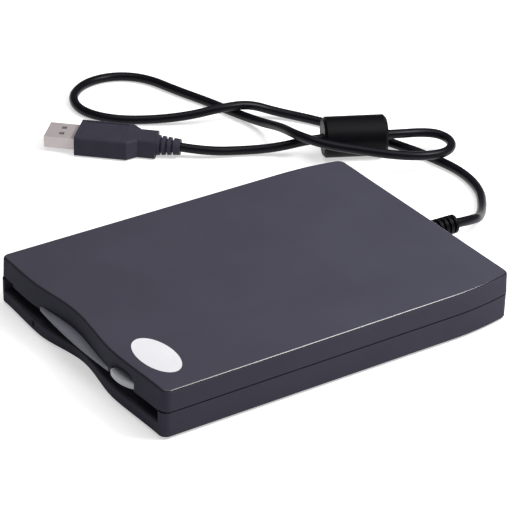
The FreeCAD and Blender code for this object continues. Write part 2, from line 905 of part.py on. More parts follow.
def oval(low, high):
    """The label's oval between two levels."""
    outline = DOC.addObject("Part::Ellipse", "Oval")
    bind(outline, "MajorRadius", S.label_length / 2)
    bind(outline, "MinorRadius", S.label_width / 2)
    place(outline, S.label_offset, FRONT + S.label_setback, low)
    solid = DOC.addObject("Part::Extrusion", "OvalBlock")
    solid.Base = outline
    solid.DirMode = "Custom"
    solid.Dir = Vector(0, 0, 1)
    solid.Solid = True
    bind(solid, "LengthFwd", as_size(high) - low)
    return solid


def case_screw_places():
    """Where the two case screws stand."""
    y = REAR - S.case_screw_inset
    return [((HALF_WIDTH - S.case_screw_side) * side, y) for side in (1, -1)]


def frame_screw_places():
    """Where the four screws of the mechanism stand."""
    front = FRONT + S.front_frame_screw_setback
    rear = FRONT + S.rear_frame_screw_setback
    return corners_of(FRAME_SCREW_X, front, rear)


def foot_places():
    """Where the four feet stand."""
    front_x = HALF_WIDTH - S.front_foot_side
    rear_x = HALF_WIDTH - S.rear_foot_side
    front = [(front_x * side, FRONT + S.front_foot_setback) for side in (1, -1)]
    rear = [(rear_x * side, REAR - S.rear_foot_inset) for side in (1, -1)]
    return front + rear


def post_places():
    """Where the four posts of the interface board stand."""
    return corners_of(LINK_HALF - S.post_side, LINK_FRONT + S.post_inset, LINK_REAR - S.post_inset)


def top_cover():
    """Upper shell with its screw bosses, board posts, roof ribs and openings."""
    boss_low = FLOOR + S.lower_boss_height
    bosses = [rod(S.boss_radius, x, y, (boss_low, CEILING)) for x, y in case_screw_places()]
    posts = [rod(S.post_radius, x, y, (LINK_TOP, CEILING)) for x, y in post_places()]
    lid_top = WALL_TOP + S.lid_thickness
    ribs = [
        box((x - S.roof_rib_width / 2, x + S.roof_rib_width / 2),
            (FRONT + S.lid_setback, FRONT + S.lid_setback + S.lid_length),
            (lid_top, CEILING))
        for x in (-S.roof_rib_offset, as_size(0), S.roof_rib_offset)
    ]
    shell = join(upper_shell(), *bosses, *posts, *ribs)
    half = S.button_width / 2 + S.button_gap
    button_way = box((S.button_offset - half, S.button_offset + half),
                     (BUTTON_TIP - OVERSHOOT, BEZEL_BACK),
                     (PARTING - OVERSHOOT, PARTING + S.button_height + S.button_gap))
    lip_way = lip_block(S.running_gap, PARTING - OVERSHOOT,
                        PARTING + S.lip_height + S.running_gap)
    pilots = [
        rod(S.screw_radius, x, y, (boss_low - OVERSHOOT, boss_low + S.case_screw_length))
        for x, y in case_screw_places()
    ]
    recess = oval(S.casing_height - S.label_thickness, S.casing_height + OVERSHOOT)
    return cut(shell, shadow_groove(), corner_notch(), button_way, lip_way, dish(), cable_notch(),
               recess, *pilots)


def screw_way(x, y, head_top, top):
    """The room of one screw from below: its head and its shank."""
    return join(
        rod(S.screw_head_radius + S.screw_head_gap, x, y, (S.foot_height - OVERSHOOT, head_top)),
        rod(S.screw_radius, x, y, (S.foot_height - OVERSHOOT, top)),
    )


def window_place(gap):
    """The light window's width and height as pairs."""
    middle = -S.window_offset
    half = S.window_width / 2 + gap
    low = FLOOR + S.window_rise
    return (middle - half, middle + half), (low - gap, low + S.window_height + gap)


def bottom_cover():
    """Lower shell with its standoffs, bosses and openings."""
    boss_top = FLOOR + S.lower_boss_height
    standoffs = [rod(S.standoff_radius, x, y, (FLOOR, BOARD_TOP)) for x, y in frame_screw_places()]
    bosses = [rod(S.boss_radius, x, y, (FLOOR, boss_top)) for x, y in case_screw_places()]
    shell = join(lower_shell(), *standoffs, *bosses)
    window_x, window_z = window_place(0)
    window = box(window_x, (BUTTON_TIP - OVERSHOOT, FRONT + S.lower_front_wall + OVERSHOOT), window_z)
    head_top = S.foot_height + S.screw_head_height
    case_head_top = FLOOR + S.lower_boss_height - S.floor_wall
    screws = [screw_way(x, y, head_top, BOARD_TOP + OVERSHOOT) for x, y in frame_screw_places()]
    screws += [screw_way(x, y, case_head_top, boss_top + OVERSHOOT) for x, y in case_screw_places()]
    feet = [
        rod(S.foot_radius, x, y, (S.foot_height - OVERSHOOT, S.foot_height + S.foot_recess))
        for x, y in foot_places()
    ]
    return cut(shell, window, cable_notch(), *screws, *feet)


def rubber_feet():
    """Four round feet, each in its recess."""
    return group(*[
        rod(S.foot_radius, x, y, (0, S.foot_height + S.foot_recess)) for x, y in foot_places()
    ])


def screw(x, y, head_low, head_top, top):
    """One screw from below, head and shank."""
    return join(
        rod(S.screw_head_radius, x, y, (head_low, head_top)),
        rod(S.screw_radius, x, y, (head_low, top)),
    )


def case_screws():
    """Two screws that hold the shells together."""
    head_top = FLOOR + S.lower_boss_height - S.floor_wall
    head_low = head_top - S.screw_head_height
    top = head_top + S.case_screw_length
    return group(*[screw(x, y, head_low, head_top, top) for x, y in case_screw_places()])


def mechanism_screws():
    """Four screws through the floor into the mechanism's frame."""
    head_top = S.foot_height + S.screw_head_height
    head_low = head_top - S.screw_head_height + S.screw_head_gap
    return group(*[screw(x, y, head_low, head_top, FRAME_TOP) for x, y in frame_screw_places()])


def front_bezel():
    """The plate behind the slot's upper edge, with the grey lip and the flap's lugs."""
    half = BEZEL_HALF
    top = PARTING + S.bezel_height
    plate = box((-half, half), (BEZEL_FRONT, BEZEL_BACK), (PARTING, top))
    lip = lip_block(as_size(0), PARTING, PARTING + S.lip_height)
    lug_z = (PARTING - S.lug_drop, PARTING + S.lug_rise)
    lugs = mirrored(lambda side: box(
        (half * side, (half - S.lug_width) * side) if side < 0 else (half - S.lug_width, half),
        (BEZEL_FRONT, BEZEL_BACK + S.lug_length), lug_z))
    button_half = S.button_width / 2 + S.button_gap
    notch = box((S.button_offset - button_half, S.button_offset + button_half),
                (BEZEL_FRONT - OVERSHOOT, BEZEL_BACK + OVERSHOOT),
                (PARTING - OVERSHOOT, PARTING + S.button_height + S.button_gap))
    hinge = rod(S.flap_pin_radius + S.running_gap, (-half - OVERSHOOT, half + OVERSHOOT), FLAP_Y, FLAP_Z)
    return cut(join(plate, lip, *lugs), notch, hinge)


def dust_flap():
    """The flap behind the slot, hanging from its hinge barrel and two stub pins."""
    half = FLAP_HALF
    spring_end = S.flap_spring_length - half
    front = FLAP_Y - S.flap_front
    plate = box((-half, half), (front, front + S.flap_thickness), (FLAP_Z - S.flap_drop, FLAP_Z))
    barrel = rod(S.flap_barrel_radius, (spring_end, half), FLAP_Y, FLAP_Z)
    pins = rod(S.flap_pin_radius, (-BEZEL_HALF, BEZEL_HALF), FLAP_Y, FLAP_Z)
    room = box((-half - OVERSHOOT, spring_end), (front - OVERSHOOT, FLAP_Y + OVERSHOOT),
               (FLAP_Z - S.flap_spring_radius - S.button_gap, FLAP_Z + OVERSHOOT))
    return join(cut(plate, room), barrel, pins)


def flap_spring():
    """The coil that closes the flap, round its left stub pin."""
    half = FLAP_HALF
    inner = S.flap_spring_radius - S.wire_radius
    length = S.flap_spring_length - S.wire_radius
    return ring(S.flap_spring_radius, inner, (-half, -half + length), FLAP_Y, FLAP_Z)


def light_pipe():
    """The clear bar from the window to the board's light."""
    window_x, window_z = window_place(0)
    board_front = FRONT + S.board_setback
    return box(window_x, (FRONT - S.window_reach, board_front), window_z)


# ---- Eject button and slide ----

def button_drop(run):
    """How far the button's round front falls back over a run from its foremost point."""
    return S.button_bend - root(S.button_bend * S.button_bend - run * run)


def eject_button():
    """A cap with a round front above the slot, with a socket for the slide's tab."""
    half = S.button_width / 2
    left = S.button_offset - half
    right = S.button_offset + half
    body = new_body()
    outline = draw(sketch_on(body, "XY_Plane", PARTING), [
        arc_to(right, BUTTON_TIP + button_drop(half + S.button_skew), S.button_bend),
        line_to(right, FRONT + S.button_rear),
        line_to(left, FRONT + S.button_rear),
        line_to(left, BUTTON_TIP + button_drop(half - S.button_skew)),
    ])
    extrude(body, "Pad", outline, S.button_height)
    fillet(body, S.button_edge_radius,
           lambda edge: lies_at(edge, "Z", PARTING + S.button_height)
           and edge.BoundBox.YMin < BEZEL_FRONT.value)
    return cut(body, slide_tab())


def slide_tab():
    """The tongue of the slide that carries the button."""
    half = S.slide_tab_width / 2
    return box((S.button_offset - half, S.button_offset + half),
               (FRONT + S.slide_tab_gap, FRONT + S.slide_setback + OVERSHOOT),
               (S.slide_height, SLIDE_TOP))


def pin_places():
    """The holder's four guide pins, front and rear."""
    return [FRONT + S.front_pin_setback, FRONT + S.rear_pin_setback]


def cam_slot(y):
    """A slanting slot through both flanges: the pin sinks as the slide comes forward."""
    radius = S.pin_radius + S.pin_gap
    reach = SLIDE_HALF + OVERSHOOT
    low = PIN_Z - S.holder_travel
    length = root(S.slide_travel * S.slide_travel + S.holder_travel * S.holder_travel)
    ends = [rod(radius, (-reach, reach), y, PIN_Z),
            rod(radius, (-reach, reach), y + S.slide_travel, low)]
    angle = slope_angle(S.holder_travel, S.slide_travel)
    track = box((-reach, reach), (0, length), (0, radius * 2))
    track.Placement = Placement(Vector(), Rotation(Vector(1, 0, 0), -1))
    bind(track, ".Placement.Rotation.Angle", -angle)
    share = radius / length
    place(track, -reach, y - S.holder_travel * share, PIN_Z - S.slide_travel * share)
    return join(*ends, track)


def slide_plate():
    """Bridge, side strips and cam flanges of the eject slide, bent from one sheet."""
    half = SLIDE_HALF
    front = FRONT + S.slide_setback
    rear = front + S.slide_length
    level = (S.slide_height, SLIDE_TOP)
    bridge = box((-half, half), (front, front + S.slide_bridge_length), level)
    window_half = S.slide_window_width / 2
    window_front = FRONT + S.slide_window_setback
    window = box((-window_half, window_half), (window_front, window_front + S.slide_window_length),
                 (S.slide_height - OVERSHOOT, SLIDE_TOP + OVERSHOOT))
    strips = [box((half - S.slide_side_width, half), (front, rear), level),
              box((-half, S.slide_side_width - half), (front, rear), level)]
    flange_y = (FRONT + S.slide_flange_start, rear)
    flange_z = (S.slide_flange_bottom, SLIDE_TOP)
    flanges = [box((half - S.sheet, half), flange_y, flange_z),
               box((-half, S.sheet - half), flange_y, flange_z)]
    tab_y = FRONT + S.spring_start + S.spring_length - S.sheet
    spring_z = WALL_TOP - S.spring_height
    tab_top = spring_z + S.spring_radius + S.tab_margin
    tabs = [spring_tab(side, (tab_y, tab_y + S.sheet), (S.slide_height, tab_top)) for side in (1, -1)]
    plate = join(bridge, *strips, *flanges, *tabs, slide_tab())
    hooks = [rod(S.spring_radius + S.pin_gap, S.spring_offset * side,
                 (tab_y - OVERSHOOT, tab_y + S.sheet + OVERSHOOT), spring_z) for side in (1, -1)]
    return cut(plate, window, *hooks, *[cam_slot(y) for y in pin_places()])


def spring_tab(side, y, z):
    """An upright tab that a slide spring hooks into."""
    middle = S.spring_offset * side
    half = S.tab_width / 2
    return box((middle - half, middle + half), y, z)


def slide_springs():
    """Two coil springs that draw the slide forward."""
    start = FRONT + S.spring_start
    inner = S.spring_radius - S.wire_radius * 2
    level = WALL_TOP - S.spring_height
    return group(*[
        ring(S.spring_radius, inner, S.spring_offset * side, (start, start + S.spring_length), level)
        for side in (1, -1)
    ])


# ---- Disk holder and shutter lever ----

def disk_holder():
    """The cradle that takes the disk: roof, sides and lips, cut out for heads and lever."""
    rear = HOLDER_FRONT + S.holder_length
    roof = box((-HOLDER_HALF, HOLDER_HALF), (HOLDER_FRONT, rear), (HOLDER_LOW, HOLDER_TOP))
    through = (HOLDER_LOW - OVERSHOOT, HOLDER_TOP + OVERSHOOT)
    inner_half = S.holder_inner_width / 2
    inner_rear = HOLDER_FRONT + S.holder_inner_length
    back_notch = box((-inner_half, inner_half), (inner_rear, rear + OVERSHOOT), through)
    gap_half = S.head_gap_width / 2
    head_notch = box((-gap_half, gap_half), (FRONT + S.head_gap_setback, rear + OVERSHOOT), through)
    sides = []
    for side in (1, -1):
        outer = HOLDER_HALF * side
        wall = (HOLDER_HALF - S.sheet) * side
        lip = (HOLDER_HALF - S.holder_lip) * side
        wall_x = (wall, outer) if side > 0 else (outer, wall)
        lip_x = (lip, outer) if side > 0 else (outer, lip)
        sides.append(box(wall_x, (HOLDER_FRONT, rear), (LIP_LOW, HOLDER_TOP)))
        sides.append(box(lip_x, (HOLDER_FRONT, rear), (LIP_LOW, LIP_TOP)))
    pin_hole = rod(S.lever_pin_radius, S.lever_offset, LEVER_Y, through)
    return cut(join(roof, *sides), back_notch, head_notch, lever_track(through), pin_hole)


def lever_track(z):
    """The arc in the holder's roof that the lever's tab runs in."""
    reach = root(S.lever_reach_x * S.lever_reach_x + S.lever_reach_y * S.lever_reach_y)
    half = S.lever_tab_radius + S.button_gap
    circle = ring(reach + half, reach - half, S.lever_offset, LEVER_Y, z)
    right = S.lever_offset - S.lever_reach_x + half
    front = LEVER_Y - S.lever_reach_y - half
    window = box((S.lever_offset - reach - half, right), (front - half, LEVER_Y + half), z)
    return overlap(circle, window)


def holder_pins():
    """Four guide pins, riveted into the holder's sides."""
    tip = FRAME_HALF + S.pin_reach
    pins = []
    for y in pin_places():
        pins.append(rod(S.pin_radius, (HOLDER_HALF, tip), y, PIN_Z))
        pins.append(rod(S.pin_radius, (-tip, -HOLDER_HALF), y, PIN_Z))
    return group(*pins)


def shutter_lever():
    """The lever that opens the disk's shutter: hub, arm and the tab that reaches down."""
    top = LEVER_LOW + S.sheet
    tip_x = S.lever_offset - S.lever_reach_x
    tip_y = LEVER_Y - S.lever_reach_y
    half = S.lever_arm_width / 2
    hub = rod(S.lever_hub_radius, S.lever_offset, LEVER_Y, (LEVER_LOW, top))
    arm = prism("XY_Plane", [
        (S.lever_offset - S.lever_hub_radius, LEVER_Y),
        (tip_x - half, tip_y),
        (tip_x + half, tip_y),
        (S.lever_offset + half, LEVER_Y),
    ], LEVER_LOW, top)
    tip = rod(half, tip_x, tip_y, (LEVER_LOW, top))
    tab = rod(S.lever_tab_radius, tip_x, tip_y, (LEVER_LOW - S.lever_tab_drop, top))
    bore = rod(S.lever_pin_radius + S.running_gap, S.lever_offset, LEVER_Y,
               (LEVER_LOW - OVERSHOOT, top + OVERSHOOT))
    return cut(join(hub, arm, tip, tab), bore)


def lever_pin():
    """The rivet that the lever turns on."""
    head_low = LEVER_LOW + S.sheet * 2
    return join(
        rod(S.lever_pin_radius, S.lever_offset, LEVER_Y, (HOLDER_LOW, head_low + S.sheet)),
        rod(S.lever_hub_radius - S.sheet, S.lever_offset, LEVER_Y, (head_low, head_low + S.sheet)),
    )


def lever_spring():
    """The coil under the rivet's head that brings the lever back."""
    top = LEVER_LOW + S.sheet
    outer = S.lever_hub_radius - S.sheet
    return ring(outer, outer - S.sheet, S.lever_offset, LEVER_Y, (top + S.running_gap, top + S.sheet))


# ---- Frame of the mechanism ----

def frame_floor():
    """The frame's floor, with its tail and openings."""
    tail_half = FRAME_HALF - S.frame_tail_inset
    level = (BOARD_TOP, FRAME_TOP)
    floor = box((-FRAME_HALF, FRAME_HALF), (FRAME_FRONT, FRAME_REAR), level)
    tail = box((-tail_half, tail_half), (FRAME_REAR - OVERSHOOT, TAIL_REAR), level)
    wall = box((-tail_half, tail_half), (TAIL_REAR - S.sheet, TAIL_REAR),
               (BOARD_TOP, BOARD_TOP + S.frame_tail_height))
    through = (BOARD_TOP - OVERSHOOT, FRAME_TOP + OVERSHOOT)
    rotor_way = rod(S.rotor_opening, 0, SPINDLE_Y, through)
    half = S.head_gap_width / 2
    head_way = box((-half, half), (FRONT + S.head_gap_setback - OVERSHOOT, ARM_Y + S.ear_length), through)
    switch_ways = [switch_room(x, S.button_gap, through) for x in switch_offsets()]
    chip_ways = [box(*chip_place(side, S.chip_opening_gap), through) for side in (1, -1)]
    tapped = [rod(S.screw_radius, x, y, through) for x, y in frame_screw_places()]
    return cut(join(floor, tail, wall), rotor_way, head_way, *switch_ways, *chip_ways, *tapped)


def frame_walls():
    """Both upright walls, with the upright slots that guide the holder's pins."""
    y = (FRAME_FRONT, FRAME_REAR)
    z = (BOARD_TOP, WALL_TOP)
    walls = join(box((FRAME_HALF - S.sheet, FRAME_HALF), y, z),
                 box((-FRAME_HALF, S.sheet - FRAME_HALF), y, z))
    half = S.pin_radius + S.pin_gap
    reach = FRAME_HALF + OVERSHOOT
    slots = [box((-reach, reach), (pin_y - half, pin_y + half),
                 (PIN_Z - S.holder_travel - half, PIN_Z + half)) for pin_y in pin_places()]
    return cut(walls, *slots)


def rod_brackets():
    """Two upright tabs that hold the front ends of the guide rods."""
    y = (ROD_FRONT - S.sheet, ROD_FRONT)
    half = S.bracket_width / 2
    z = (BOARD_TOP, FRAME_TOP + S.bracket_height)
    tabs = [box((S.rod_offset * side - half, S.rod_offset * side + half), y, z) for side in (1, -1)]
    holes = [rod(S.rod_radius, S.rod_offset * side, (y[0] - OVERSHOOT, y[1] + OVERSHOOT), ROD_Z)
             for side in (1, -1)]
    return cut(join(*tabs), *holes)


def screw_bracket():
    """The upright tab that the lead screw's front journal turns in."""
    front = FRONT + S.screw_bracket_setback
    half = S.screw_bracket_width / 2
    tab = box((S.screw_offset - half, S.screw_offset + half), (front, front + S.sheet),
              (BOARD_TOP, FRAME_TOP + S.screw_bracket_height))
    bore = rod(S.journal_radius + S.running_gap, S.screw_offset,
               (front - OVERSHOOT, front + S.sheet + OVERSHOOT), LEAD_Z)
    return cut(tab, bore)


def chassis():
    """The channel of sheet metal that carries the whole mechanism."""
    return join(frame_floor(), frame_walls(), rod_brackets(), screw_bracket())


def drive_lid():
    """The thin lid over the mechanism, with the tabs of the slide springs."""
    front = FRONT + S.lid_setback
    top = WALL_TOP + S.lid_thickness
    lid = box((-FRAME_HALF, FRAME_HALF), (front, front + S.lid_length), (WALL_TOP, top))
    tab_y = FRONT + S.spring_start
    tab_low = WALL_TOP - S.spring_height - S.spring_radius + S.pin_gap
    tabs = [spring_tab(side, (tab_y - S.sheet, tab_y), (tab_low, top)) for side in (1, -1)]
    return join(lid, *tabs)


# ---- Main board and spindle ----

def switch_offsets():
    """The three switches: write protect, density and disk in."""
    return [-SWITCH_X, SWITCH_X, DISK_SWITCH_X]


def switch_room(x, gap, z):
    """The block of one switch, with a gap round it."""
    half = S.switch_width / 2 + gap
    depth = S.switch_depth / 2 + gap
    return box((x - half, x + half), (SWITCH_Y - depth, SWITCH_Y + depth), z)


def switch_housings():
    """Three small housings on the main board, each bored for its plunger."""
    top = BOARD_TOP + S.switch_height
    housings = []
    for x in switch_offsets():
        block = switch_room(x, 0, (BOARD_TOP, top))
        bore = rod(S.plunger_radius + S.running_gap, x, SWITCH_Y, (BOARD_TOP - OVERSHOOT, top + OVERSHOOT))
        housings.append(cut(block, bore))
    return group(*housings)


def plunger(x):
    """One switch plunger, up."""
    top = BOARD_TOP + S.plunger_rise
    return rod(S.plunger_radius, x, SWITCH_Y, (top - S.plunger_length, top))


def chip_place(side, gap):
    """One chip's place on the main board, with a gap round it."""
    half = S.chip_size / 2 + gap
    x = S.chip_offset * side
    y = FRONT + S.chip_setback
    return (x - half, x + half), (y - half, y + half)


def main_board():
    """The flat board under the frame, with a tail to the flat cable."""
    half = FRAME_SCREW_X - S.standoff_radius - S.board_side_gap
    front = FRONT + S.board_setback
    rear = front + S.board_length
    tail = FRONT + S.board_tail_length
    board = prism("XY_Plane", [
        (-half, front), (half, front), (half, rear), (-S.board_tail_right, rear),
        (-S.board_tail_right, tail), (-S.board_tail_left, tail), (-S.board_tail_left, rear),
        (-half, rear),
    ], BOARD_BOTTOM, BOARD_TOP)
    through = (BOARD_BOTTOM - OVERSHOOT, BOARD_TOP + OVERSHOOT)
    holes = [rod(S.plunger_radius + S.pin_gap * 2, x, SWITCH_Y, through) for x in switch_offsets()]
    return cut(board, rod(S.bearing_radius, 0, SPINDLE_Y, through), *holes)


def board_chips():
    """Two chips in the frame's openings."""
    z = (BOARD_TOP, BOARD_TOP + S.chip_thickness)
    return group(*[box(*chip_place(side, 0), z) for side in (1, -1)])


def status_led():
    """The light behind the light pipe."""
    window_x, _ = window_place(0)
    middle = (window_x[0] + window_x[1]) / 2
    half = S.led_width / 2
    front = FRONT + S.board_setback
    return box((middle - half, middle + half), (front, front + S.led_depth),
               (BOARD_TOP, BOARD_TOP + S.led_height))


def stator_coils():
    """A circle of flat coils on the main board."""
    coils = []
    for number in range(SIZES["coil_count"]):
        angle = 2 * math.pi * (number + 0.5) / SIZES["coil_count"]
        x = S.coil_circle * math.cos(angle)
        y = SPINDLE_Y + S.coil_circle * math.sin(angle)
        coils.append(ring(S.coil_radius, S.coil_radius / 2, x, y,
                          (BOARD_TOP, BOARD_TOP + S.coil_thickness)))
    return group(*coils)


def spindle_bearing():
    """The bush in the board that the spindle turns in."""
    top = BOARD_TOP + S.coil_thickness
    return ring(S.bearing_radius, S.shaft_radius + S.running_gap, 0, SPINDLE_Y, (BOARD_BOTTOM, top))


def rotor_levels():
    """The rotor's underside, its rim's top, the hub's top and the centre pin's top."""
    low = BOARD_TOP + S.rotor_gap
    rim = low + S.rotor_thickness
    hub = rim + S.hub_height
    return low, rim, hub, hub + S.centre_pin_height


def spindle_rotor():
    """The flat rotor: rim, chucking hub with its magnet groove, centre pin and shaft."""
    low, rim, hub, pin = rotor_levels()
    body = lathe("XZ_Plane", "V_Axis", [
        (0, BOARD_BOTTOM + S.running_gap), (S.shaft_radius, BOARD_BOTTOM + S.running_gap),
        (S.shaft_radius, low), (S.rotor_radius, low), (S.rotor_radius, rim), (S.hub_radius, rim),
        (S.hub_radius, hub), (S.magnet_outer_radius, hub), (S.magnet_outer_radius, hub - S.magnet_depth),
        (S.magnet_inner_radius, hub - S.magnet_depth), (S.magnet_inner_radius, hub),
        (S.centre_pin_radius, hub), (S.centre_pin_radius, pin), (0, pin),
    ])
    return place(body, 0, SPINDLE_Y, 0)


def chucking_magnet():
    """The ring that holds the disk's steel hub."""
    hub = rotor_levels()[2]
    return ring(S.magnet_outer_radius, S.magnet_inner_radius, 0, SPINDLE_Y, (hub - S.magnet_depth, hub))


def drive_pin():
    """The pin that turns the disk's hub."""
    hub = rotor_levels()[2]
    return rod(S.drive_pin_radius, S.drive_pin_offset, SPINDLE_Y, (hub, hub + S.drive_pin_height))


# ---- Heads and their drive ----

def guide_rods():
    """Two rods that the carriage runs on."""
    return group(*[
        rod(S.rod_radius, S.rod_offset * side, (ROD_FRONT - S.sheet, TAIL_REAR - S.sheet), ROD_Z)
        for side in (1, -1)
    ])


def rod_clips():
    """Two blocks that hold the rear ends of the rods."""
    clips = []
    for side in (1, -1):
        x = S.rod_offset * side
        half = S.bracket_width / 2
        y = (TAIL_REAR - S.sheet - S.clip_length, TAIL_REAR - S.sheet)
        block = box((x - half, x + half), y, (FRAME_TOP, FRAME_TOP + S.bracket_height))
        clips.append(cut(block, rod(S.rod_radius, x, (y[0] - OVERSHOOT, y[1] + OVERSHOOT), ROD_Z)))
    return group(*clips)


def carriage_block():
    """The block that runs on the rods, closed round the right one and forked on the left one."""
    half = S.carriage_width / 2
    rear = CARRIAGE_FRONT + S.carriage_length
    block = box((-half, half), (CARRIAGE_FRONT, rear), (CARRIAGE_LOW, CARRIAGE_TOP))
    y = (CARRIAGE_FRONT - OVERSHOOT, rear + OVERSHOOT)
    bore = rod(S.rod_radius + S.running_gap, S.rod_offset, y, ROD_Z)
    radius = S.rod_radius + S.running_gap
    fork = box((-half - OVERSHOOT, -S.rod_offset), y, (ROD_Z - radius, ROD_Z + radius))
    fork_end = rod(radius, -S.rod_offset, y, ROD_Z)
    return cut(block, bore, fork, fork_end)


def head_carriage():
    """Block, low arm, follower and the ears of the upper arm's pivot."""
    arm_half = S.low_arm_width / 2
    arm_low = BOARD_TOP + S.low_arm_gap
    arm_top = arm_low + S.low_arm_thickness
    low_arm = box((-arm_half, arm_half),
                  (FRONT + S.low_arm_setback, CARRIAGE_FRONT + S.carriage_length / 2),
                  (arm_low, arm_top))
    follower_y = (CARRIAGE_FRONT + S.sheet, CARRIAGE_FRONT + S.sheet + S.follower_length)
    follower_end = S.screw_offset - S.lead_radius - S.running_gap * 2
    follower = box((S.carriage_width / 2 - OVERSHOOT, follower_end), follower_y,
                   (LEAD_Z - S.low_arm_thickness, LEAD_Z + S.sheet))
    inner = S.arm_width / 2 + S.ear_gap
    outer = inner + S.ear_width
    ear_y = (ARM_Y - S.ear_length / 2, ARM_Y + S.ear_length / 2)
    ear_z = (CARRIAGE_TOP - OVERSHOOT, ARM_Z + S.arm_barrel_radius)
    ears = [box((inner, outer), ear_y, ear_z), box((-outer, -inner), ear_y, ear_z)]
    pin_way = rod(S.arm_pin_radius, (-outer - OVERSHOOT, outer + OVERSHOOT), ARM_Y, ARM_Z)
    return cut(join(carriage_block(), low_arm, follower, *ears), pin_way)


def head_block(z):
    """The square part of a head."""
    half = S.head_width / 2
    length = S.head_length / 2
    return box((-half, half), (HEAD_Y - length, HEAD_Y + length), z)


def lower_head():
    """The lower head with its round shoe."""
    low = BOARD_TOP + S.low_arm_gap + S.low_arm_thickness
    top = BOARD_TOP + S.lower_head_rise
    step = (low + top) / 2
    return join(head_block((low, step)), rod(S.head_shoe_radius, 0, HEAD_Y, (step, top)))


def arm_pin():
    """The pivot pin of the upper arm."""
    outer = S.arm_width / 2 + S.ear_gap + S.ear_width
    return rod(S.arm_pin_radius, (-outer, outer), ARM_Y, ARM_Z)


def upper_head_arm():
    """The upper arm: a plate on the pivot's barrel."""
    half = S.arm_width / 2
    plate = box((-half, half), (ARM_Y - S.arm_length, ARM_Y + S.arm_tail), (ARM_LOW, ARM_LOW + S.sheet))
    barrel = rod(S.arm_barrel_radius, (-half, half), ARM_Y, ARM_Z)
    bore = rod(S.arm_pin_radius + S.running_gap, (-half - OVERSHOOT, half + OVERSHOOT), ARM_Y, ARM_Z)
    return cut(join(plate, barrel), bore)


def upper_head():
    """The upper head with its round shoe, under the arm."""
    low = ARM_LOW - S.upper_head_height
    step = (low + ARM_LOW) / 2
    return join(head_block((step, ARM_LOW)), rod(S.head_shoe_radius, 0, HEAD_Y, (low, step)))


def lead_screw():
    """The screw that moves the carriage, with a journal at each end."""
    front = FRONT + S.screw_bracket_setback
    thread_front = front + S.sheet + S.pin_gap * 2
    return join(
        rod(S.journal_radius, S.screw_offset, (front, MOTOR_FRONT + S.arm_tail), LEAD_Z),
        rod(S.lead_radius, S.screw_offset, (thread_front, MOTOR_FRONT - S.pin_gap), LEAD_Z),
    )


def stepper_motor():
    """The can motor on its foot, against the frame's rear wall."""
    rear = TAIL_REAR - S.sheet
    can = rod(S.motor_radius, S.screw_offset, (MOTOR_FRONT, rear), LEAD_Z)
    half = S.motor_foot_width / 2
    foot = box((S.screw_offset - half, S.screw_offset + half), (MOTOR_FRONT, rear), (FRAME_TOP, LEAD_Z))
    bore = rod(S.journal_radius + S.running_gap, S.screw_offset,
               (MOTOR_FRONT - OVERSHOOT, MOTOR_FRONT + S.arm_tail + S.pin_gap), LEAD_Z)
    return cut(join(can, foot), bore)


# ---- Interface board ----

def interface_board():
    """The board under the posts of the roof, with its four screw holes."""
    board = box((-LINK_HALF, LINK_HALF), (LINK_FRONT, LINK_REAR), (LINK_LOW, LINK_TOP))
    holes = [rod(S.screw_radius, x, y, (LINK_LOW - OVERSHOOT, LINK_TOP + OVERSHOOT))
             for x, y in post_places()]
    return cut(board, *holes)


def board_screws():
    """Four screws that hold the interface board to the posts."""
    return group(*[
        join(rod(S.screw_head_radius, x, y, (LINK_LOW - S.screw_head_height, LINK_LOW)),
             rod(S.screw_radius, x, y, (LINK_LOW - S.screw_head_height, LINK_TOP)))
        for x, y in post_places()
    ])


def interface_chips():
    """A controller and a smaller chip on the interface board."""
    z = (LINK_TOP, LINK_TOP + S.link_chip_height)
    middle = (LINK_FRONT + LINK_REAR) / 2
    size = S.link_chip_size
    small = S.small_chip_size
    return group(
        box((-size, as_size(0)), (middle - size / 2, middle + size / 2), z),
        box((size, size + small), (middle - small, middle), z),
    )


def ribbon_cable():
    """The flat cable from the main board's tail up behind the frame to the interface board."""
    left = -S.flat_cable_offset - S.flat_cable_width / 2
    tail = FRONT + S.board_tail_length
    start = tail - S.flat_cable_overlap
    bend = tail - S.running_gap
    low = BOARD_TOP + S.flat_cable_thickness
    under = LINK_LOW - S.flat_cable_thickness
    reach = bend - S.flat_cable_reach
    inside = bend - S.flat_cable_thickness
    return prism("YZ_Plane", [
        (start, BOARD_TOP), (bend, BOARD_TOP), (bend, LINK_LOW), (reach, LINK_LOW),
        (reach, under), (inside, under), (inside, low), (start, low),
    ], left, left + S.flat_cable_width)


# ---- Cable ----

def sleeve_side(start, end, wide, narrow, first, count):
    """The side of a tapering sleeve from its start, with grooves from the first one on."""
    corners = [(start, wide)]
    station = first
    for _ in range(count):
        for y, enters in ((station, True), (station + S.sleeve_groove, False)):
            crest = wide - (wide - narrow) * ((y - start) / (end - start))
            pair = [(y, crest), (y, crest - S.sleeve_groove_depth)]
            corners += pair if enters else pair[::-1]
        station = station + S.sleeve_groove + S.sleeve_rib
    return corners + [(end, narrow), (end, 0)]


def strain_relief():
    """The moulded sleeve at the rear: flange inside, neck in the walls, grooved tail outside."""
    inside = CAVITY_REAR - S.relief_flange
    end = REAR + S.relief_length
    count = SIZES["relief_grooves"]
    first = end - S.relief_rim - (S.sleeve_groove + S.sleeve_rib) * count + S.sleeve_rib
    corners = [
        (inside, 0), (inside, S.relief_flange_radius), (CAVITY_REAR, S.relief_flange_radius),
        (CAVITY_REAR, S.relief_neck_radius), (REAR, S.relief_neck_radius),
    ]
    tail = sleeve_side(REAR, end, S.relief_radius, S.relief_end_radius, first, count)
    body = lathe("YZ_Plane", "H_Axis", corners + tail)
    return place(body, 0, 0, PARTING)


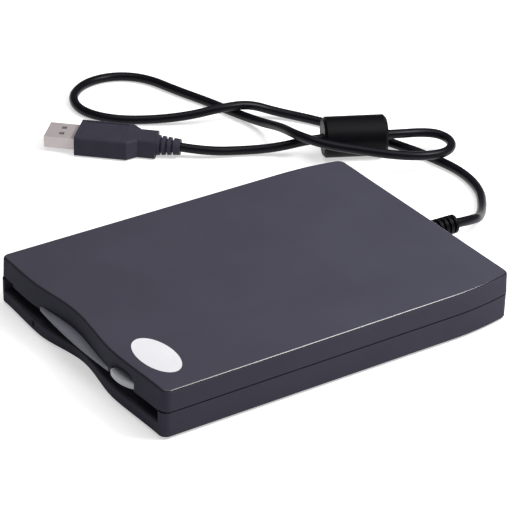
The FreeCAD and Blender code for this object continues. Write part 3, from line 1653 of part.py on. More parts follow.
def bend_points(points, index):
    """Where the bend at one point of the route starts, its middle, its end and its radius."""
    before, here, after = points[index - 1:index + 2]
    inward = before - here
    outward = after - here
    tangent = TANGENT_SHARE * min(inward.Length, outward.Length)
    inward.normalize()
    outward.normalize()
    half_turn = (math.pi - inward.getAngle(outward)) / 2
    radius = tangent / math.tan(half_turn)
    axis = (inward + outward).normalize()
    middle = here + axis * (radius / math.cos(half_turn) - radius)
    return here + inward * tangent, middle, here + outward * tangent, radius


def cord_edges(points):
    """Straight runs joined by tangent arcs, with the radius of each arc."""
    edges = []
    radii = []
    place_now = points[0]
    for index in range(1, len(points) - 1):
        start, middle, end, radius = bend_points(points, index)
        edges.append(Part.LineSegment(place_now, start).toShape())
        edges.append(Part.Arc(start, middle, end).toShape())
        radii.append(radius)
        place_now = end
    edges.append(Part.LineSegment(place_now, points[-1]).toShape())
    return edges, radii


def usb_cord():
    """The cable as a tube along its route, checked against section times length."""
    points = [Vector(*point) for point in CORD_ROUTE]
    edges, radii = cord_edges(points)
    path = Part.Wire(edges)
    circle = Part.Circle(points[0], points[1] - points[0], S.cord_radius.value)
    sides = SIZES["cord_sides"]
    corners = [circle.value(2 * math.pi * number / sides) for number in range(sides)]
    section = Part.makePolygon([*corners, corners[0]])
    shape = path.makePipeShell([section], True, False)
    expected = Part.Face(section).Area * path.Length
    if abs(shape.Volume / expected - 1) > VOLUME_MATCH:
        raise ValueError(f"the cord's volume is {shape.Volume:.0f}, not {expected:.0f}")
    print("cord length", round(path.Length, 1), "radii", [round(radius, 1) for radius in radii])
    tube = DOC.addObject("Part::Feature", "Cord")
    tube.Shape = shape
    return tube


def lay(item, point, heading):
    """Turns a piece made along +X to a heading on the table and puts it at a point."""
    angle = math.degrees(math.atan2(heading.y, heading.x))
    item.Placement = Placement(point, Rotation(Vector(0, 0, 1), angle))
    return item


def ferrite_jacket():
    """The moulded bead: bevelled ends, a bore for the cord and a hollow for the core."""
    length = S.bead_length
    bevel = S.bead_chamfer
    start = (length - S.core_length) / 2
    bead = lathe("XZ_Plane", "H_Axis", [
        (0, S.cord_radius), (0, S.bead_radius - bevel), (bevel, S.bead_radius),
        (length - bevel, S.bead_radius), (length, S.bead_radius - bevel), (length, S.cord_radius),
    ])
    hollow = ring(S.core_radius, S.cord_radius, (start, length - start), 0, 0)
    return lay(cut(bead, hollow), BEAD_START, BEAD_HEADING)


def ferrite_core():
    """The sintered tube inside the bead."""
    start = (S.bead_length - S.core_length) / 2
    core = ring(S.core_radius, S.cord_radius, (start, S.bead_length - start), 0, 0)
    return lay(core, BEAD_START, BEAD_HEADING)


def plug_stations():
    """Where the plug's shell, grip, shoulder, neck and tail end, from its tip."""
    grip = S.plug_shell_length + S.plug_grip_length
    shoulder = grip + S.plug_shoulder
    neck = shoulder + S.plug_neck_length
    return S.plug_shell_length, grip, shoulder, neck, neck + S.plug_tail_length


def plug_grip():
    """The moulded grip, wide at the shell and narrow at the tail, with soft edges."""
    shell, grip, shoulder, neck, _ = plug_stations()
    wide = S.plug_grip_width / 2
    narrow = S.plug_neck_width / 2
    low = -S.plug_thickness / 2
    body = new_body()
    outline = polygon(sketch_on(body, "XY_Plane", low), [
        (shell, -wide), (grip, -wide), (shoulder, -narrow), (neck, -narrow),
        (neck, narrow), (shoulder, narrow), (grip, wide), (shell, wide),
    ])
    extrude(body, "Pad", outline, S.plug_thickness)
    fillet(body, S.plug_edge_radius, lambda edge: edge.BoundBox.XLength > 1e-3)
    return body


def plug_tail():
    """The grooved tail that eases the cable's bend."""
    _, _, _, neck, end = plug_stations()
    start = neck - OVERSHOOT
    side = sleeve_side(start, end, S.plug_tail_radius, S.plug_tail_end_radius,
                       neck + S.plug_tail_plain, SIZES["plug_tail_grooves"])
    return lathe("XZ_Plane", "H_Axis", [(start, 0), *side])


def plug_overmould():
    """Grip and tail in one moulding, with a shallow panel on top."""
    shell, grip, _, _, _ = plug_stations()
    half = S.plug_grip_width / 2 - S.plug_panel_border
    top = S.plug_thickness / 2
    panel = box((shell + S.plug_panel_border, grip - S.plug_panel_border), (-half, half),
                (top - S.plug_panel_depth, top + OVERSHOOT))
    root_way = plug_shell_block(as_size(0), shell + S.plug_shell_root)
    mould = cut(join(plug_grip(), plug_tail()), panel, root_way)
    return lay(mould, PLUG_TIP, PLUG_HEADING)


def plug_shell_block(start, end):
    """The outside of the plug's metal shell."""
    half = S.plug_shell_width / 2
    rise = S.plug_shell_height / 2
    return box((start, end), (-half, half), (-rise, rise))


def plug_shell():
    """The folded metal shell, open at its tip, with two square latch holes above and below."""
    wall = S.plug_shell_wall
    end = S.plug_shell_length + S.plug_shell_root
    half = S.plug_shell_width / 2 - wall
    rise = S.plug_shell_height / 2 - wall
    hollow = box((-OVERSHOOT, end - wall), (-half, half), (-rise, rise))
    middle = S.plug_shell_length / 2
    hole = S.latch_hole / 2
    through = (-S.plug_shell_height, S.plug_shell_height)
    latches = [
        box((middle - hole, middle + hole),
            (S.latch_offset * side - hole, S.latch_offset * side + hole), through)
        for side in (1, -1)
    ]
    return lay(cut(plug_shell_block(as_size(0), end), hollow, *latches), PLUG_TIP, PLUG_HEADING)


def tongue_levels():
    """The lower and upper face of the plug's tongue."""
    top = S.plug_shell_height / 2 - S.plug_shell_wall
    return top - S.tongue_thickness, top


def plug_tongue():
    """The insulating tongue in the shell, against its upper wall."""
    half = S.tongue_width / 2
    end = S.plug_shell_length + S.plug_shell_root - S.plug_shell_wall
    low, top = tongue_levels()
    bevel = S.tongue_bevel
    tongue = prism("XZ_Plane", [
        (S.tongue_setback, top), (S.tongue_setback, low + bevel), (S.tongue_setback + bevel, low),
        (end, low), (end, top),
    ], -half, half)
    return lay(tongue, PLUG_TIP, PLUG_HEADING)


def plug_contacts():
    """Four contact strips on the tongue."""
    low, _ = tongue_levels()
    start = S.tongue_setback + S.contact_width
    strips = []
    count = SIZES["contact_count"]
    for number in range(count):
        middle = S.contact_pitch * (number - (count - 1) / 2)
        strips.append(box((start, start + S.contact_length),
                          (middle - S.contact_width / 2, middle + S.contact_width / 2),
                          (low - S.contact_thickness, low)))
    return lay(join(*strips), PLUG_TIP, PLUG_HEADING)


# ---- The whole drive ----

PIECES = [
    top_cover, bottom_cover, rubber_feet, case_screws, mechanism_screws, front_bezel, dust_flap,
    flap_spring, light_pipe, eject_button, slide_plate, slide_springs, disk_holder, holder_pins,
    shutter_lever, lever_pin, lever_spring, chassis, drive_lid, switch_housings, main_board,
    board_chips, status_led, stator_coils, spindle_bearing, spindle_rotor, chucking_magnet,
    drive_pin, guide_rods, rod_clips, head_carriage, lower_head, arm_pin, upper_head_arm,
    upper_head, lead_screw, stepper_motor, interface_board, board_screws, interface_chips,
    ribbon_cable, strain_relief, usb_cord, ferrite_jacket, ferrite_core, plug_overmould,
    plug_shell, plug_tongue, plug_contacts,
]
PLUNGERS = {
    "write_protect_plunger": -SWITCH_X,
    "density_plunger": SWITCH_X,
    "disk_in_plunger": DISK_SWITCH_X,
}


def build():
    """Builds every piece as an object with its own label."""
    for make in PIECES:
        node(make.__name__, make())
    for name, offset in PLUNGERS.items():
        node(name, plunger(offset))
    node("oval_label", oval(S.casing_height - S.label_thickness, S.casing_height))
    DOC.recompute()


def check():
    """Stops at a failed object or an empty or invalid shape."""
    for item in DOC.Objects:
        if {"Invalid", "Error"} & set(item.State):
            raise RuntimeError(f"{item.Name} ({item.Label}) is {item.State}")
    for name, piece in NODES.items():
        if piece.Shape.isNull() or not piece.Shape.isValid() or not piece.Shape.Solids:
            raise RuntimeError(f"{name} has no valid solid")


def export():
    """Writes each piece to a STEP file of its own."""
    os.makedirs("parts", exist_ok=True)
    for name, piece in NODES.items():
        piece.Shape.exportStep(os.path.join("parts", f"{name}.step"))


build()
check()
export()
print(len(NODES), "pieces,", sum(len(piece.Shape.Solids) for piece in NODES.values()), "solids")
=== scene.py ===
"""Looks of a slim external 3.5-inch floppy disk drive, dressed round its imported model.

The file is laid out as an add-on.  Property groups hold the sizes and colours that a user would
change, one operator dresses each group of pieces, and a panel in the sidebar lists them.
Lengths are in metres, and colours are written as sRGB hex codes.
"""

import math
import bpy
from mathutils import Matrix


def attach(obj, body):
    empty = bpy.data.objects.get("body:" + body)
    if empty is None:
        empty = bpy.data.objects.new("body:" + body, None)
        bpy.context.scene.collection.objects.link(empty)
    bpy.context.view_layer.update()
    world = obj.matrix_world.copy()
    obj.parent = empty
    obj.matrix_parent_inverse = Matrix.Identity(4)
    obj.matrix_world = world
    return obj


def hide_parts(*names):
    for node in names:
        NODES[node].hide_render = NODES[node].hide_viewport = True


bl_info = {
    "name": "External Floppy Disk Drive",
    "version": (1, 0, 0),
    "blender": (4, 5, 0),
    "location": "View3D > Sidebar > Floppy Drive",
    "description": "Dresses the packed floppy disk drive and sets it on a pale studio floor",
    "category": "Object",
}

import bmesh
import bpy
from mathutils import Matrix, Vector

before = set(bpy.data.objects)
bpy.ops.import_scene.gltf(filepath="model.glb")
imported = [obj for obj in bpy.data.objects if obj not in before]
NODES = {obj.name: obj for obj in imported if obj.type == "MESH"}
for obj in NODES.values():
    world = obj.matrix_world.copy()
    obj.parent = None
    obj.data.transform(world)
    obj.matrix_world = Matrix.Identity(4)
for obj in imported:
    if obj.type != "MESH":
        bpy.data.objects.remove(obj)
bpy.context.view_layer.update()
MM = 0.001  # one millimetre

# The route of the part's own cord, from the strain relief to the plug's tail
CORD_ROUTE = [
    (0, 0.084425, 0.0094), (0, 0.0934, 0.0086), (-0.0051, 0.1005, 0.0052),
    (-0.0144, 0.1092, 0.0028), (-0.0268, 0.1179, 0.00175), (-0.0421, 0.1211, 0.00175),
    (-0.059, 0.1179, 0.00175), (-0.0758, 0.1125, 0.00175), (-0.0937, 0.1055, 0.00175),
    (-0.1085, 0.0975, 0.00175), (-0.1182, 0.0895, 0.0026), (-0.123, 0.0804, 0.0062),
    (-0.1253, 0.0694, 0.0064), (-0.1312, 0.0574, 0.0034), (-0.1391, 0.0447, 0.00175),
    (-0.147, 0.033, 0.00175), (-0.1589, 0.0269, 0.00175), (-0.1709, 0.0295, 0.00175),
    (-0.1786, 0.0381, 0.00175), (-0.1807, 0.0481, 0.00175), (-0.1776, 0.0576, 0.00175),
    (-0.1696, 0.0644, 0.00175), (-0.1552, 0.0681, 0.00175), (-0.1403, 0.0731, 0.00175),
    (-0.1259, 0.0769, 0.00175), (-0.1114, 0.0789, 0.0034), (-0.0975, 0.0777, 0.0078),
    (-0.0841, 0.0757, 0.0106), (-0.073, 0.0804, 0.0102), (-0.0654, 0.0905, 0.0086),
    (-0.0571, 0.0997, 0.0077), (-0.0514, 0.1083, 0.0072), (-0.0489, 0.1179, 0.0069),
    (-0.0523, 0.1248, 0.0067), (-0.0594, 0.1275, 0.0067), (-0.0661, 0.1242, 0.007),
    (-0.0709, 0.1093, 0.00775), (-0.0832, 0.0842, 0.0076), (-0.0914, 0.0722, 0.0032),
    (-0.0981, 0.0624, 0.00175), (-0.1034, 0.0482, 0.0028), (-0.1098, 0.0404, 0.004),
]
CORD_ROUNDNESS = 5  # the cord's section has four sides, and two more for each of these
CORD_STEPS = 8  # lengths of cord between two points of the route

# The casing's rounded edges are nearly its only faces that lean upwards, between level and
# upright, so the height of the surface's normal finds them
EDGE_HEIGHT = 0.74  # at the middle of an edge
EDGE_CORE = 0.15  # an edge is whole this near to its middle
EDGE_END = 0.24  # and ends here
EDGE_PAINTED_SHADE = 0.35  # what an edge keeps of the colour under its painted shade

# The Mix node's sockets for colours: the two that go in, and the one that comes out
TINT_A = 6
TINT_B = 7
TINT_OUT = 2

# Nearly all of a noise texture's values lie between these two
NOISE_LOW = 0.3
NOISE_HIGH = 0.7

# The wave texture draws this many rings over one unit of its scale
RINGS_PER_SCALE = 20 / (2 * math.pi)

FLOOR_HALF = 6  # half of the floor's side
FLOOR_DROP = 0.2 * MM  # the floor lies this far under the feet
FLOOR_LIFT = 0.6  # glow that brings the floor up to white

# Each lamp's name, the setting with its power, its size and its place
LAMPS = (
    ("overhead_lamp", "overhead", (0.6, 0.6), (-0.05, 0.08, 0.62)),
    ("key_lamp", "key", (0.26, 0.12), (0.17, 0.23, 0.37)),
)
LAMP_AIM = Vector((0, 0.02, 0))
VIEW_DEPTH = 20  # farthest distance that the camera shows


def linear(code):
    """Turns an sRGB hex colour into the linear colour that shaders take."""
    channels = [int(code[at:at + 2], 16) / 255 for at in (1, 3, 5)]
    return [c / 12.92 if c <= 0.04045 else ((c + 0.055) / 1.055) ** 2.4 for c in channels] + [1.0]


def colour(code, name, description):
    """A colour property with an sRGB hex default."""
    return bpy.props.FloatVectorProperty(
        name=name, description=description, subtype="COLOR", size=4, min=0, max=1,
        default=linear(code))


# ---- Properties ----

class FloppyCasingSettings(bpy.types.PropertyGroup):
    """Colours and texture of the casing."""
    shell: colour("#44434E", "Shell", "Colour of the two black shells")
    lip: colour("#8E8E99", "Lip", "Colour of the bezel's lip")
    button: colour("#C6C7CF", "Button", "Colour of the eject button")
    label: colour("#E6E5EA", "Label", "Colour of the bare oval label")
    grain: bpy.props.FloatProperty(
        name="Grain", description="Width of one grain of the eroded texture",
        default=0.5 * MM, min=0.1 * MM, unit="LENGTH")


class FloppyCordSettings(bpy.types.PropertyGroup):
    """Size and colour of the cord and the pieces moulded on it."""
    diameter: bpy.props.FloatProperty(
        name="Diameter", description="Diameter of the cord", default=3.5 * MM, min=2 * MM,
        unit="LENGTH")
    jacket: colour("#0F0F15", "Jacket", "Colour of the cord's soft jacket")
    moulding: colour("#0B0B0E", "Moulding", "Colour of the bead and the sleeve")
    grip: colour("#3B3A45", "Grip", "Colour of the plug's grip")


class FloppyStageSettings(bpy.types.PropertyGroup):
    """Where the camera stands and how the stage is lit."""
    azimuth: bpy.props.FloatProperty(
        name="Azimuth", description="Turn of the camera round the drive",
        default=math.radians(55.372), subtype="ANGLE")
    elevation: bpy.props.FloatProperty(
        name="Elevation", description="Height of the camera above the floor",
        default=math.radians(29.148), subtype="ANGLE")
    roll: bpy.props.FloatProperty(
        name="Roll", description="Turn of the camera about its own line of sight",
        default=math.radians(1.327), subtype="ANGLE")
    distance: bpy.props.FloatProperty(
        name="Distance", description="Distance from the camera to its aim", default=0.94036,
        unit="LENGTH")
    aim: bpy.props.FloatVectorProperty(
        name="Aim", description="Point that the camera looks at", subtype="TRANSLATION",
        default=(-0.030090, 0.021163, 0.0008))
    lens: bpy.props.FloatProperty(
        name="Lens", description="Focal length in millimetres on a 36 mm sensor",
        default=189.26, min=1)
    floor: colour("#F2F2F2", "Floor", "Colour of the floor")
    ambient: bpy.props.FloatProperty(
        name="Ambient", description="Strength of the world's light", default=0.12, min=0)
    overhead: bpy.props.FloatProperty(
        name="Overhead", description="Power of the wide panel over the drive", default=2.2,
        min=0, unit="POWER")
    key: bpy.props.FloatProperty(
        name="Key", description="Power of the softbox behind the drive's right side",
        default=1.95, min=0, unit="POWER")


# ---- Node and object helpers ----

def add(tree, kind, inputs=(), **fields):
    """Adds a node, sets its fields and fills its inputs with values or with links."""
    node = tree.nodes.new("ShaderNode" + kind)
    for name, value in fields.items():
        setattr(node, name, value)
    for name, value in dict(inputs).items():
        if isinstance(value, bpy.types.NodeSocket):
            tree.links.new(value, node.inputs[name])
        else:
            node.inputs[name].default_value = value
    return node


def new_material(name):
    """Makes a material, and gives it, its tree and the socket with the piece's coordinates."""
    material = bpy.data.materials.new(name)
    material.use_nodes = True
    tree = material.node_tree
    tree.nodes.clear()
    return material, tree, add(tree, "TexCoord").outputs["Object"]


def surface(tree, inputs):
    """Ends a tree in a principled shader."""
    shader = add(tree, "BsdfPrincipled", inputs)
    add(tree, "OutputMaterial", {"Surface": shader.outputs["BSDF"]})


def shade_of(code, share):
    """A colour made lighter or darker by a share of itself."""
    return [min(1.0, channel * share) for channel in code[:3]] + [1.0]


def clouded(tree, place, tone, size, shades, detail=2.0, roughness=0.5):
    """Clouds of one size between a darker and a lighter shade: their colour and their mask."""
    clouds = add(tree, "TexNoise", {"Vector": place, "Scale": 1 / size, "Detail": detail,
                                    "Roughness": roughness})
    darker, lighter = shades
    tint = add(tree, "Mix", {"Factor": clouds.outputs["Fac"], TINT_A: shade_of(tone, darker),
                             TINT_B: shade_of(tone, lighter)}, data_type="RGBA")
    return tint.outputs[TINT_OUT], clouds.outputs["Fac"]


def dress(material, *names):
    """Gives CAD nodes a finish."""
    for name in names:
        for slot in NODES[name].material_slots:
            slot.material = material


# ---- Materials ----

def eroded_abs(name, tone, grain, roughness=0.55):
    """ABS moulded in a spark-eroded tool: a dull satin with a fine pebbled grain.

    The real grain is about 0.15 mm; it is drawn at the grain's own setting, coarser, so that it
    shows at this distance.  Flow marks from moulding are 22 mm wide.  The tool's rounded edges
    aren't eroded and handling polishes them further, under a glossy coat; painted shade darkens
    them.
    The faces between them have far less gloss than plain ABS.
    """
    material, tree, place = new_material(name)
    pebbles = add(tree, "TexNoise", {"Vector": place, "Scale": 1 / grain, "Detail": 2.0,
                                     "Roughness": 0.6})
    tint, _ = clouded(tree, place, tone, 22.2 * MM, (0.88, 1.12), detail=3.0)
    speckle = add(tree, "MapRange", {
        "Value": pebbles.outputs["Fac"], "From Min": NOISE_LOW, "From Max": NOISE_HIGH,
        "To Min": roughness - 0.05, "To Max": roughness + 0.07})
    facing = add(tree, "SeparateXYZ", {"Vector": add(tree, "NewGeometry").outputs["Normal"]})
    lean = add(tree, "Math", {0: facing.outputs["Z"], 1: EDGE_HEIGHT}, operation="SUBTRACT")
    away = add(tree, "Math", {0: lean.outputs["Value"]}, operation="ABSOLUTE")
    edge = add(tree, "MapRange", {
        "Value": away.outputs["Value"], "From Min": EDGE_CORE, "From Max": EDGE_END,
        "To Min": 1.0, "To Max": 0.0})
    # Painted shade: the rounded edges' colour is darkened, standing in for the dark reflection they
    # show
    tint_and_painted_edge_shade = add(tree, "Mix", {"Factor": edge.outputs["Result"], TINT_A: tint,
                             TINT_B: shade_of(tone, EDGE_PAINTED_SHADE)}, data_type="RGBA")
    relief = add(tree, "Bump", {"Height": pebbles.outputs["Fac"], "Strength": 0.22,
                                "Distance": 0.06 * MM})
    surface(tree, {"Base Color": tint_and_painted_edge_shade.outputs[TINT_OUT],
                   "Roughness": speckle.outputs["Result"], "IOR": 1.53,
                   "Specular IOR Level": 0.012, "Normal": relief.outputs["Normal"],
                   "Coat Weight": edge.outputs["Result"], "Coat Roughness": 0.14,
                   "Coat IOR": 1.53})
    return material


def satin_plastic(name, tone, roughness, peel):
    """A smooth moulding: slight orange peel of the given width, and faint flow marks 11 mm wide."""
    material, tree, place = new_material(name)
    bumps = add(tree, "TexNoise", {"Vector": place, "Scale": 1 / peel, "Detail": 1.0})
    tint, flow = clouded(tree, place, tone, 11.1 * MM, (0.9, 1.1))
    gloss = add(tree, "MapRange", {"Value": flow, "To Min": roughness - 0.04,
                                   "To Max": roughness + 0.04})
    relief = add(tree, "Bump", {"Height": bumps.outputs["Fac"], "Strength": 0.15,
                                "Distance": 0.05 * MM})
    surface(tree, {"Base Color": tint, "Roughness": gloss.outputs["Result"], "IOR": 1.5,
                   "Normal": relief.outputs["Normal"]})
    return material


def soft_polymer(name, tone, roughness, gloss):
    """Soft PVC or rubber: slightly waxy, under a little dust in patches 6 mm wide.

    The grain of the skin is about 0.1 mm, and is drawn 0.6 mm wide so that it shows.
    """
    material, tree, place = new_material(name)
    grain = add(tree, "TexNoise", {"Vector": place, "Scale": 1 / (0.556 * MM), "Detail": 2.0})
    tint, dust = clouded(tree, place, tone, 6.25 * MM, (0.82, 1.25), detail=4.0, roughness=0.65)
    haze = add(tree, "MapRange", {"Value": dust, "To Min": roughness - 0.06,
                                  "To Max": roughness + 0.08})
    relief = add(tree, "Bump", {"Height": grain.outputs["Fac"], "Strength": 0.2,
                                "Distance": 0.04 * MM})
    surface(tree, {"Base Color": tint, "Roughness": haze.outputs["Result"], "IOR": 1.53,
                   "Specular IOR Level": gloss, "Normal": relief.outputs["Normal"]})
    return material


def worked_metal(name, tone, roughness, squeeze=(1.0, 14.0, 1.0), metallic=1.0):
    """Metal with rolling, drawing or turning marks about 3 mm long, in clouds 8 mm wide.

    The marks are as many times narrower along each axis as squeeze says.
    """
    material, tree, place = new_material(name)
    squeezed = add(tree, "Mapping", {"Vector": place, "Scale": squeeze})
    marks = add(tree, "TexNoise", {"Vector": squeezed.outputs["Vector"],
                                   "Scale": 1 / (2.857 * MM), "Detail": 3.0})
    tint, _ = clouded(tree, place, tone, 8.33 * MM, (0.88, 1.1))
    gloss = add(tree, "MapRange", {
        "Value": marks.outputs["Fac"], "From Min": NOISE_LOW, "From Max": NOISE_HIGH,
        "To Min": roughness - 0.08, "To Max": roughness + 0.1})
    relief = add(tree, "Bump", {"Height": marks.outputs["Fac"], "Strength": 0.12,
                                "Distance": 0.03 * MM})
    surface(tree, {"Base Color": tint, "Metallic": metallic,
                   "Roughness": gloss.outputs["Result"], "Normal": relief.outputs["Normal"]})
    return material


def solder_mask(name, tone):
    """Glass-epoxy board under solder mask: rows of tracks stand a little proud of it.

    Real tracks are 0.2 mm wide and 0.4 mm apart; these rows are 1.1 mm apart with gaps 0.2 mm
    wide, so that they show.
    """
    material, tree, place = new_material(name)
    unit = 10 * MM
    tracks = add(tree, "TexBrick", {
        "Vector": place, "Scale": 1 / unit, "Mortar Size": 0.2 * MM / unit,
        "Mortar Smooth": 0.2, "Brick Width": 13 * MM / unit, "Row Height": 1.1 * MM / unit,
    }, offset=0.37, squash=0.55, squash_frequency=3)
    mask, _ = clouded(tree, place, tone, 16.7 * MM, (0.8, 1.15))
    tint = add(tree, "Mix", {"Factor": tracks.outputs["Fac"], TINT_A: mask,
                             TINT_B: shade_of(tone, 1.9)}, data_type="RGBA")
    relief = add(tree, "Bump", {"Height": tracks.outputs["Fac"], "Strength": 0.4,
                                "Distance": 0.04 * MM})
    surface(tree, {"Base Color": tint.outputs[TINT_OUT], "Roughness": 0.28, "IOR": 1.55,
                   "Normal": relief.outputs["Normal"]})
    return material


def smoked_acrylic(name, tone):
    """Clear acrylic with a smoked tint: a polished face with a ripple 1.4 mm wide."""
    material, tree, place = new_material(name)
    ripple = add(tree, "TexNoise", {"Vector": place, "Scale": 1 / (1.43 * MM)})
    relief = add(tree, "Bump", {"Height": ripple.outputs["Fac"], "Strength": 0.05,
                                "Distance": 0.03 * MM})
    surface(tree, {"Base Color": tone, "Roughness": 0.08, "IOR": 1.49,
                   "Transmission Weight": 0.85, "Normal": relief.outputs["Normal"]})
    return material


def wound_copper(name, tone):
    """Enamelled copper wire, wound: warm bands, with painted shade in dark lines between the turns.

    The wire is 0.12 mm thick, and its turns are drawn 0.35 mm apart so that they show.
    """
    material, tree, place = new_material(name)
    turns = add(tree, "TexWave", {"Vector": place, "Scale": 1 / (0.349 * MM * RINGS_PER_SCALE),
                                  "Distortion": 0.6}, wave_type="RINGS")
    # Painted shade: the gaps between the turns are darkened
    tint = add(tree, "Mix", {"Factor": turns.outputs["Fac"], TINT_A: shade_of(tone, 0.6),
                             TINT_B: tone}, data_type="RGBA")
    relief = add(tree, "Bump", {"Height": turns.outputs["Fac"], "Strength": 0.4,
                                "Distance": 0.04 * MM})
    surface(tree, {"Base Color": tint.outputs[TINT_OUT], "Metallic": 0.8, "Roughness": 0.35,
                   "Normal": relief.outputs["Normal"]})
    return material


# ---- Operators ----

class FLOPPY_OT_stage(bpy.types.Operator):
    """Set up the camera, the floor and the soft lamps"""
    bl_idname = "floppy.stage"
    bl_label = "Stage"

    def execute(self, context):
        stage = context.scene.floppy_stage
        self.place_camera(context, stage)
        self.make_floor(context, stage)
        self.make_lamps(context, stage)
        self.light_world(context, stage)
        context.scene.view_settings.view_transform = "Standard"
        return {"FINISHED"}

    def place_camera(self, context, stage):
        """The camera looks down on the drive from its front right."""
        back = Vector((
            math.sin(stage.azimuth) * math.cos(stage.elevation),
            -math.cos(stage.azimuth) * math.cos(stage.elevation),
            math.sin(stage.elevation),
        ))
        side = Vector((0, 0, 1)).cross(back).normalized()
        turn = Matrix((side, back.cross(side), back)).transposed()
        turn = turn @ Matrix.Rotation(stage.roll, 3, "Z")
        camera = bpy.data.objects.new("camera", bpy.data.cameras.new("camera"))
        camera.data.lens = stage.lens
        camera.data.clip_end = VIEW_DEPTH
        camera.matrix_world = Matrix.LocRotScale(
            Vector(stage.aim) + back * stage.distance, turn, None)
        context.scene.collection.objects.link(camera)
        context.scene.camera = camera

    def make_floor(self, context, stage):
        """A wide floor that looks white and keeps the drive's shadow."""
        shape = bmesh.new()
        bmesh.ops.create_grid(shape, x_segments=1, y_segments=1, size=FLOOR_HALF,
                              matrix=Matrix.Translation((0, 0, -FLOOR_DROP)))
        mesh = bpy.data.meshes.new("floor")
        shape.to_mesh(mesh)
        shape.free()
        floor = bpy.data.objects.new("floor", mesh)
        context.scene.collection.objects.link(floor)
        mesh.materials.append(self.painted_floor(stage.floor))

    def painted_floor(self, tone):
        """Matt white paint, with faint clouds 0.3 m wide, that glows for what looks at it."""
        material, tree, place = new_material("painted_floor")
        tint, _ = clouded(tree, place, tone, 1 / 3, (0.99, 1))
        path = add(tree, "LightPath")
        seen = path.outputs["Is Camera Ray"]
        for ray in ("Is Glossy Ray", "Is Transmission Ray"):
            both = add(tree, "Math", {0: seen, 1: path.outputs[ray]}, operation="ADD")
            seen = both.outputs["Value"]
        matt = add(tree, "BsdfDiffuse", {"Color": tint})
        lift = add(tree, "Math", {0: seen, 1: FLOOR_LIFT}, operation="MULTIPLY")
        glow = add(tree, "Emission", {"Color": tone, "Strength": lift.outputs["Value"]})
        paint = add(tree, "AddShader", {0: matt.outputs["BSDF"], 1: glow.outputs["Emission"]})
        add(tree, "OutputMaterial", {"Surface": paint.outputs["Shader"]})
        return material

    def make_lamps(self, context, stage):
        """A wide panel overhead, and a softbox behind the right side that edges the roof."""
        for name, power, size, place in LAMPS:
            lamp = bpy.data.lights.new(name, "AREA")
            lamp.shape = "RECTANGLE"
            lamp.energy = getattr(stage, power)
            lamp.size, lamp.size_y = size
            holder = bpy.data.objects.new(name, lamp)
            heading = Vector(place) - LAMP_AIM
            holder.matrix_world = Matrix.LocRotScale(
                Vector(place), heading.to_track_quat("Z", "Y"), None)
            context.scene.collection.objects.link(holder)

    def light_world(self, context, stage):
        """An even, dim world, the same for every ray."""
        world = bpy.data.worlds.new("studio")
        world.use_nodes = True
        tree = world.node_tree
        tree.nodes.clear()
        sky = add(tree, "Background", {"Color": (1, 1, 1, 1), "Strength": stage.ambient})
        add(tree, "OutputWorld", {"Surface": sky.outputs["Background"]})
        context.scene.world = world


class FLOPPY_OT_cord(bpy.types.Operator):
    """Lay the cord along its route"""
    bl_idname = "floppy.cord"
    bl_label = "Cord"

    def execute(self, context):
        settings = context.scene.floppy_cord
        line = bpy.data.curves.new("cord", "CURVE")
        line.dimensions = "3D"
        line.bevel_depth = settings.diameter / 2
        line.bevel_resolution = CORD_ROUNDNESS
        line.use_fill_caps = True
        spline = line.splines.new("NURBS")
        spline.points.add(len(CORD_ROUTE) - 1)
        for point, place in zip(spline.points, CORD_ROUTE):
            point.co = (*place, 1)
        spline.order_u = 3
        spline.use_endpoint_u = True
        spline.resolution_u = CORD_STEPS
        cord = bpy.data.objects.new("cord", line)
        context.scene.collection.objects.link(cord)
        # Extruded soft PVC: the shiniest of the soft pieces, with a long highlight
        line.materials.append(soft_polymer("cable_pvc", settings.jacket, 0.32, 0.12))
        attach(cord, "casing")
        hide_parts("usb_cord")
        return {"FINISHED"}


class FLOPPY_OT_casing(bpy.types.Operator):
    """Finish the two shells, the bezel, the button, the label and the feet"""
    bl_idname = "floppy.casing"
    bl_label = "Casing"

    def execute(self, context):
        casing = context.scene.floppy_casing
        dress(eroded_abs("black_eroded_abs", casing.shell, casing.grain),
              "top_cover", "bottom_cover")
        dress(eroded_abs("grey_eroded_abs", casing.lip, casing.grain, 0.45), "front_bezel")
        # Moulded ABS: the button is smoother than the shells and catches a soft highlight
        dress(satin_plastic("light_grey_abs", casing.button, 0.4, 0.6 * MM), "eject_button")
        # Moulded acetal: a slippery sheen on the flap that disks rub against
        dress(satin_plastic("black_acetal", linear("#101012"), 0.35, 0.6 * MM), "dust_flap")
        # Varnished polyester film with nothing on it: even, pale and slightly glossy
        dress(satin_plastic("polyester_label", casing.label, 0.38, 0.9 * MM), "oval_label")
        dress(smoked_acrylic("smoked_acrylic", linear("#1C1F1D")), "light_pipe")
        # Moulded rubber: nearly matt
        dress(soft_polymer("moulded_rubber", linear("#17171A"), 0.7, 0.3), "rubber_feet")
        # Steel plated with black zinc: a dark, oily sheen
        dress(worked_metal("black_zinc_plate", linear("#1B1B1E"), 0.4), "case_screws",
              "mechanism_screws")
        return {"FINISHED"}


